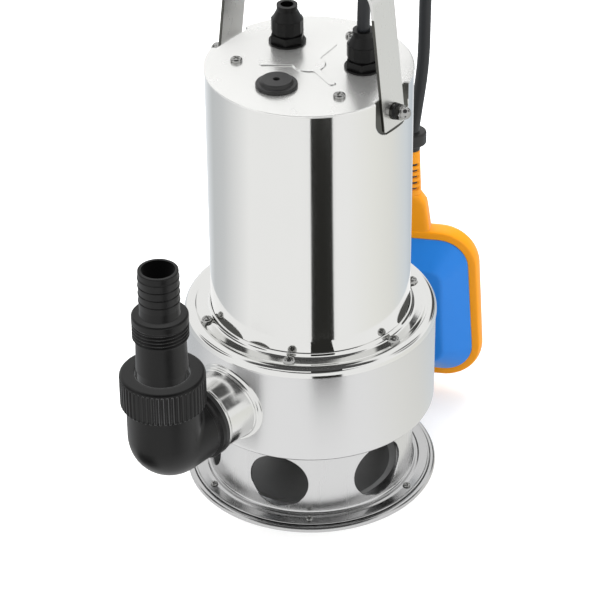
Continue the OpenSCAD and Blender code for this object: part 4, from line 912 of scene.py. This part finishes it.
def acorn_nut(low, flat=3.98, high=3.6, dome=3.7):
    """Radius of a hexagon round its axis, flat / cos(a mod 60), held inside a 30 degree cone at both
    ends, and then a dome."""
    a = full_turn(96)
    hexagon = flat / np.cos((a + np.pi / 6) % (np.pi / 3) - np.pi / 6)
    z = np.array([0, 0.15, 0.3, 0.45, 0.6, 1.2, 3.0, 3.15, 3.3, 3.45, 3.6])[:, None]
    cone = flat + 0.02 + np.minimum(z, high - z) * 1.5
    turn = np.radians(np.linspace(0, 90, 12))[:, None]
    r = np.concatenate([np.minimum(hexagon, cone), dome + 0 * a[None], dome * np.cos(turn) + 0 * a])
    z = np.concatenate([z, [[high + 0.02]], high + 1 + dome * np.sin(turn)])
    return grid(r * np.cos(a), r * np.sin(a), z + low)


piece("nuts_skin", [skin(at_foot(acorn_nut(3.2), side)) for side in (0, 180)],
      "bright_steel", ["handle_nuts"])

# %% [markdown]
# ## Blind plug
#
# The third hole of the cover is closed with a soft rubber plug. It is turned like the base.

# %% Blind plug
plug = soften([[0.01, 1.9], [1.9, 1.9], [1.9, 4.6], [9.3, 4.6], [9.7, 2.4], [12.25, 2.3], [12.25, 0], [7.9, 0],
               [7.9, -1.2], [9.2, -1.2], [9.2, -2.7], [6, -6.2], [0.01, -6.2]],
              [0, 0.2, 0.35, 1.1, 0.5, 0.9, 0.3, 0, 0, 0.2, 0.2, 0.5, 0], 4)
plug = turned(lathe(plug, 72) + [0, -31.5, LID_TOP], FOOT_TURN)
piece("plug_skin", [skin(plug, True)], "rubber_black", ["blind_plug"])

# %% [markdown]
# ## Float
#
# Two blue shells are welded into a yellow band. Everything is drawn from one outline, a trapezium
# with large round corners, which can be drawn in by d. The band is a section of points (d, y) carried
# round that outline. A shell leads from the outline to the smaller one of its flat panel, by a
# soft minimum that rounds the panel's edge. The neck is a stack of superellipses that change from a
# block into the round of the strain relief.

# %% Float
FLOAT_X, FLOAT_Y, FLOAT_FACE, NECK_X = -4.216, 105.416, 31, -2.1
FLOAT_LOW, FLOAT_TOP, BAND_T, BAND_W, FLOAT_HALF = 11.8, 122.5, 12.5, 6.5, 20


def at_float(points, shift=0):
    """Points of the float's own frame, whose front faces -y, turned and moved to the float."""
    return turned(points + [shift, 0, 0], FLOAT_FACE) + [FLOAT_X, FLOAT_Y, 0]


def trapezium(low, high, bottom, top, radii, y):
    """A trapezium with round corners in the plane y, from two half widths and two heights."""
    x, z = soften([[-low, bottom], [low, bottom], [high, top], [-high, top]], radii, 16).T
    return grid(x, y, z)


def float_outline(d, y):
    """The float's outline, drawn in by d."""
    return trapezium(47.9 - d, 41.2 - d, FLOAT_LOW + d, FLOAT_TOP - d, [25 - d, 25 - d, 26 - d, 26 - d], y)


def panel_outline(d, y):
    """The outline of a shell's flat panel, drawn out by d."""
    return trapezium(20.6 + d, 18.4 + d, FLOAT_LOW + 22 - d, FLOAT_TOP - 25 + d, 7 + d, y)


half = BAND_T / 2
crown = [(1.75 * abs(t) ** 2.4, half * t) for t in np.linspace(-0.93, 0.93, 21)]
band = [(BAND_W, half), (BAND_W, -half + 0.5), (BAND_W - 0.15, -half + 0.15), (BAND_W - 0.5, -half), (3.2, -half),
        (2.2, -half + 0.04), (1.75, -half + 0.2)] + crown + [(1.75, half - 0.2), (2.2, half - 0.04), (3.2, half)]
band = at_float(np.array([float_outline(d, y) for d, y in band]))

relief_axis = at_float(np.zeros(3), NECK_X)
t = full_turn(72)
z = np.array([117, 122.2, 124, 128, 132, 136, 140, 141.2, 142.6, 144, 145.2, 146, 147])
wide = np.interp(z, [117, 122.2, 132, 141, 145.4, 147], [12.9, 12.6, 11.3, 9.9, 7.2, 6.4])[:, None]
deep = np.interp(z, [117, 140, 147], [5.85, 5.85, 6.15])[:, None]
power = 2 / np.interp(z, [117, 138, 147], [7, 6, 2.2])[:, None]
neck = grid(wide * np.sign(np.cos(t)) * np.abs(np.cos(t)) ** power,
            deep * np.sign(np.sin(t)) * np.abs(np.sin(t)) ** power, z[:, None])
neck = np.concatenate([neck[:1] * [0, 0, 1], neck, neck[-1:] * [0, 0, 1]])
piece("float_band_skin", [skin(band, True), skin(at_float(neck, NECK_X))],
      "float_yellow", ["float_band"], body="float", sharp=45)


def float_shell():
    """Rows from the outline (s = 0) to the panel (s = 1) at a depth that rises as the soft minimum
    (x^-p + 1)^(-1/p) of the slope x and the panel's level, and on to the middle of the panel."""
    border, panel = float_outline(BAND_W + 0.1, 0), panel_outline(0.4, 0)
    s = np.r_[1e-3, np.linspace(0.04, 0.82, 14), np.linspace(0.84, 1.04, 14)][:, None]
    rise = (np.maximum(1.115 * s, 1e-3) ** -26 + 1) ** (-1 / 26)
    deep = 6.9 + (FLOAT_HALF - 6.9) * rise
    slope = border + s[..., None] * (panel - border)
    slope[..., 1] = -deep
    inner = np.stack([panel * [f, 0, f] + [0, -FLOAT_HALF, (1 - f) * 66] for f in (0.9, 0.6, 0.3, 1e-4)])
    start = float_outline(BAND_W + 0.1, -2)[None]
    return np.concatenate([start * [0, 1, 0] + [0, 0, 66], start, slope, inner])


for name, side in (("front", 0), ("back", 180)):
    piece(f"float_{name}_skin", [skin(at_float(turned(float_shell(), side)))], "float_blue", [f"float_{name}_shell"],
          body="float", sharp=50)

# %% Strain relief
def relief_radius(a, z):
    """A cone with slots: five in front and four behind, half a pitch higher. Inside a slot the radius
    drops to the cable's."""
    pitch, first, slot = 4.25, 151.6, 0
    for side, shift, low, high in ((0, pitch / 2, -1.5, 4.5 * pitch), (np.pi, 0, 0, 4 * pitch)):
        around = smooth((62 - np.degrees(np.abs((a - side + np.pi) % (2 * np.pi) - np.pi))) / 6 + 0.5)
        off = np.abs((z - first + shift) % pitch - pitch / 2)
        slot = np.maximum(slot, around * smooth((1.0 - off) / 0.3 + 0.5) * (z < first + high) * (z > first + low))
    cone = np.interp(z, [147, 176.5, 177.3, 178], [6.2, 4.95, 4.75, 4.3])
    return cone + slot * (4.05 - cone)


a = full_turn(96)
z = np.concatenate([np.linspace(146.8, 177, 176), [177.4, 177.8, 178, 178]])[:, None]
r = relief_radius(a[None, :], z)
r[-1] = 3.85
relief = piece("float_relief_skin", [skin(at_float(polar(r, a, z), NECK_X))], "float_yellow", ["float_strain_relief"],
               body="float", sharp=60)
recolour(relief, "rubber_black", lambda x, y, z: np.hypot(x - relief_axis[0], y - relief_axis[1]) < 4.35)

# %% Float collar
collar = soften([[3.9, 178], [4.85, 178], [4.85, 183], [8.75, 183], [8.75, 191.5], [3.9, 191.5]],
                [0, 0.2, 0.8, 0.8, 1.7, 0.3], 6)
piece("float_collar_skin", [skin(at_float(lathe(collar, 72), NECK_X), True)], "rubber_black", ["float_collar"],
      body="float")

# %% [markdown]
# ## The rest of the pump
#
# The parts inside, and the small ones whose CAD mesh is already right, keep their shape. They get
# the finish of their material slot. No skin may make the pump bigger.

# %% Finish the CAD nodes
for obj in nodes.values():
    for slot in obj.material_slots:
        slot.material = FINISHES.get(slot.material.name, slot.material)
print(len(nodes), "CAD nodes finished")

# %% [markdown]
# Two things spoil a picture of polished metal: the dark outlet and the bright float, mirrored in it.
# The reflections leave them out, and the parts below the casing too, so that its mirror shows the
# clean floor down to the ring.

# %% Keep some pieces out of the reflections
UNSEEN = ("stub_skin", "elbow_skin", "nut_skin", "nozzle_skin", "ring_skin", "float_band_skin", "float_front_skin",
          "float_back_skin", "float_collar_skin", "float_relief_skin", "handle_skin", "outlet_gasket", "nozzle_gasket",
          "float_switch", "float_ball", "seal_plate", "drum_oring", "lower_bracket", "bracket_screws")
for name in UNSEEN:
    bpy.data.objects[name].visible_glossy = False
print(len(UNSEEN), "pieces left out")
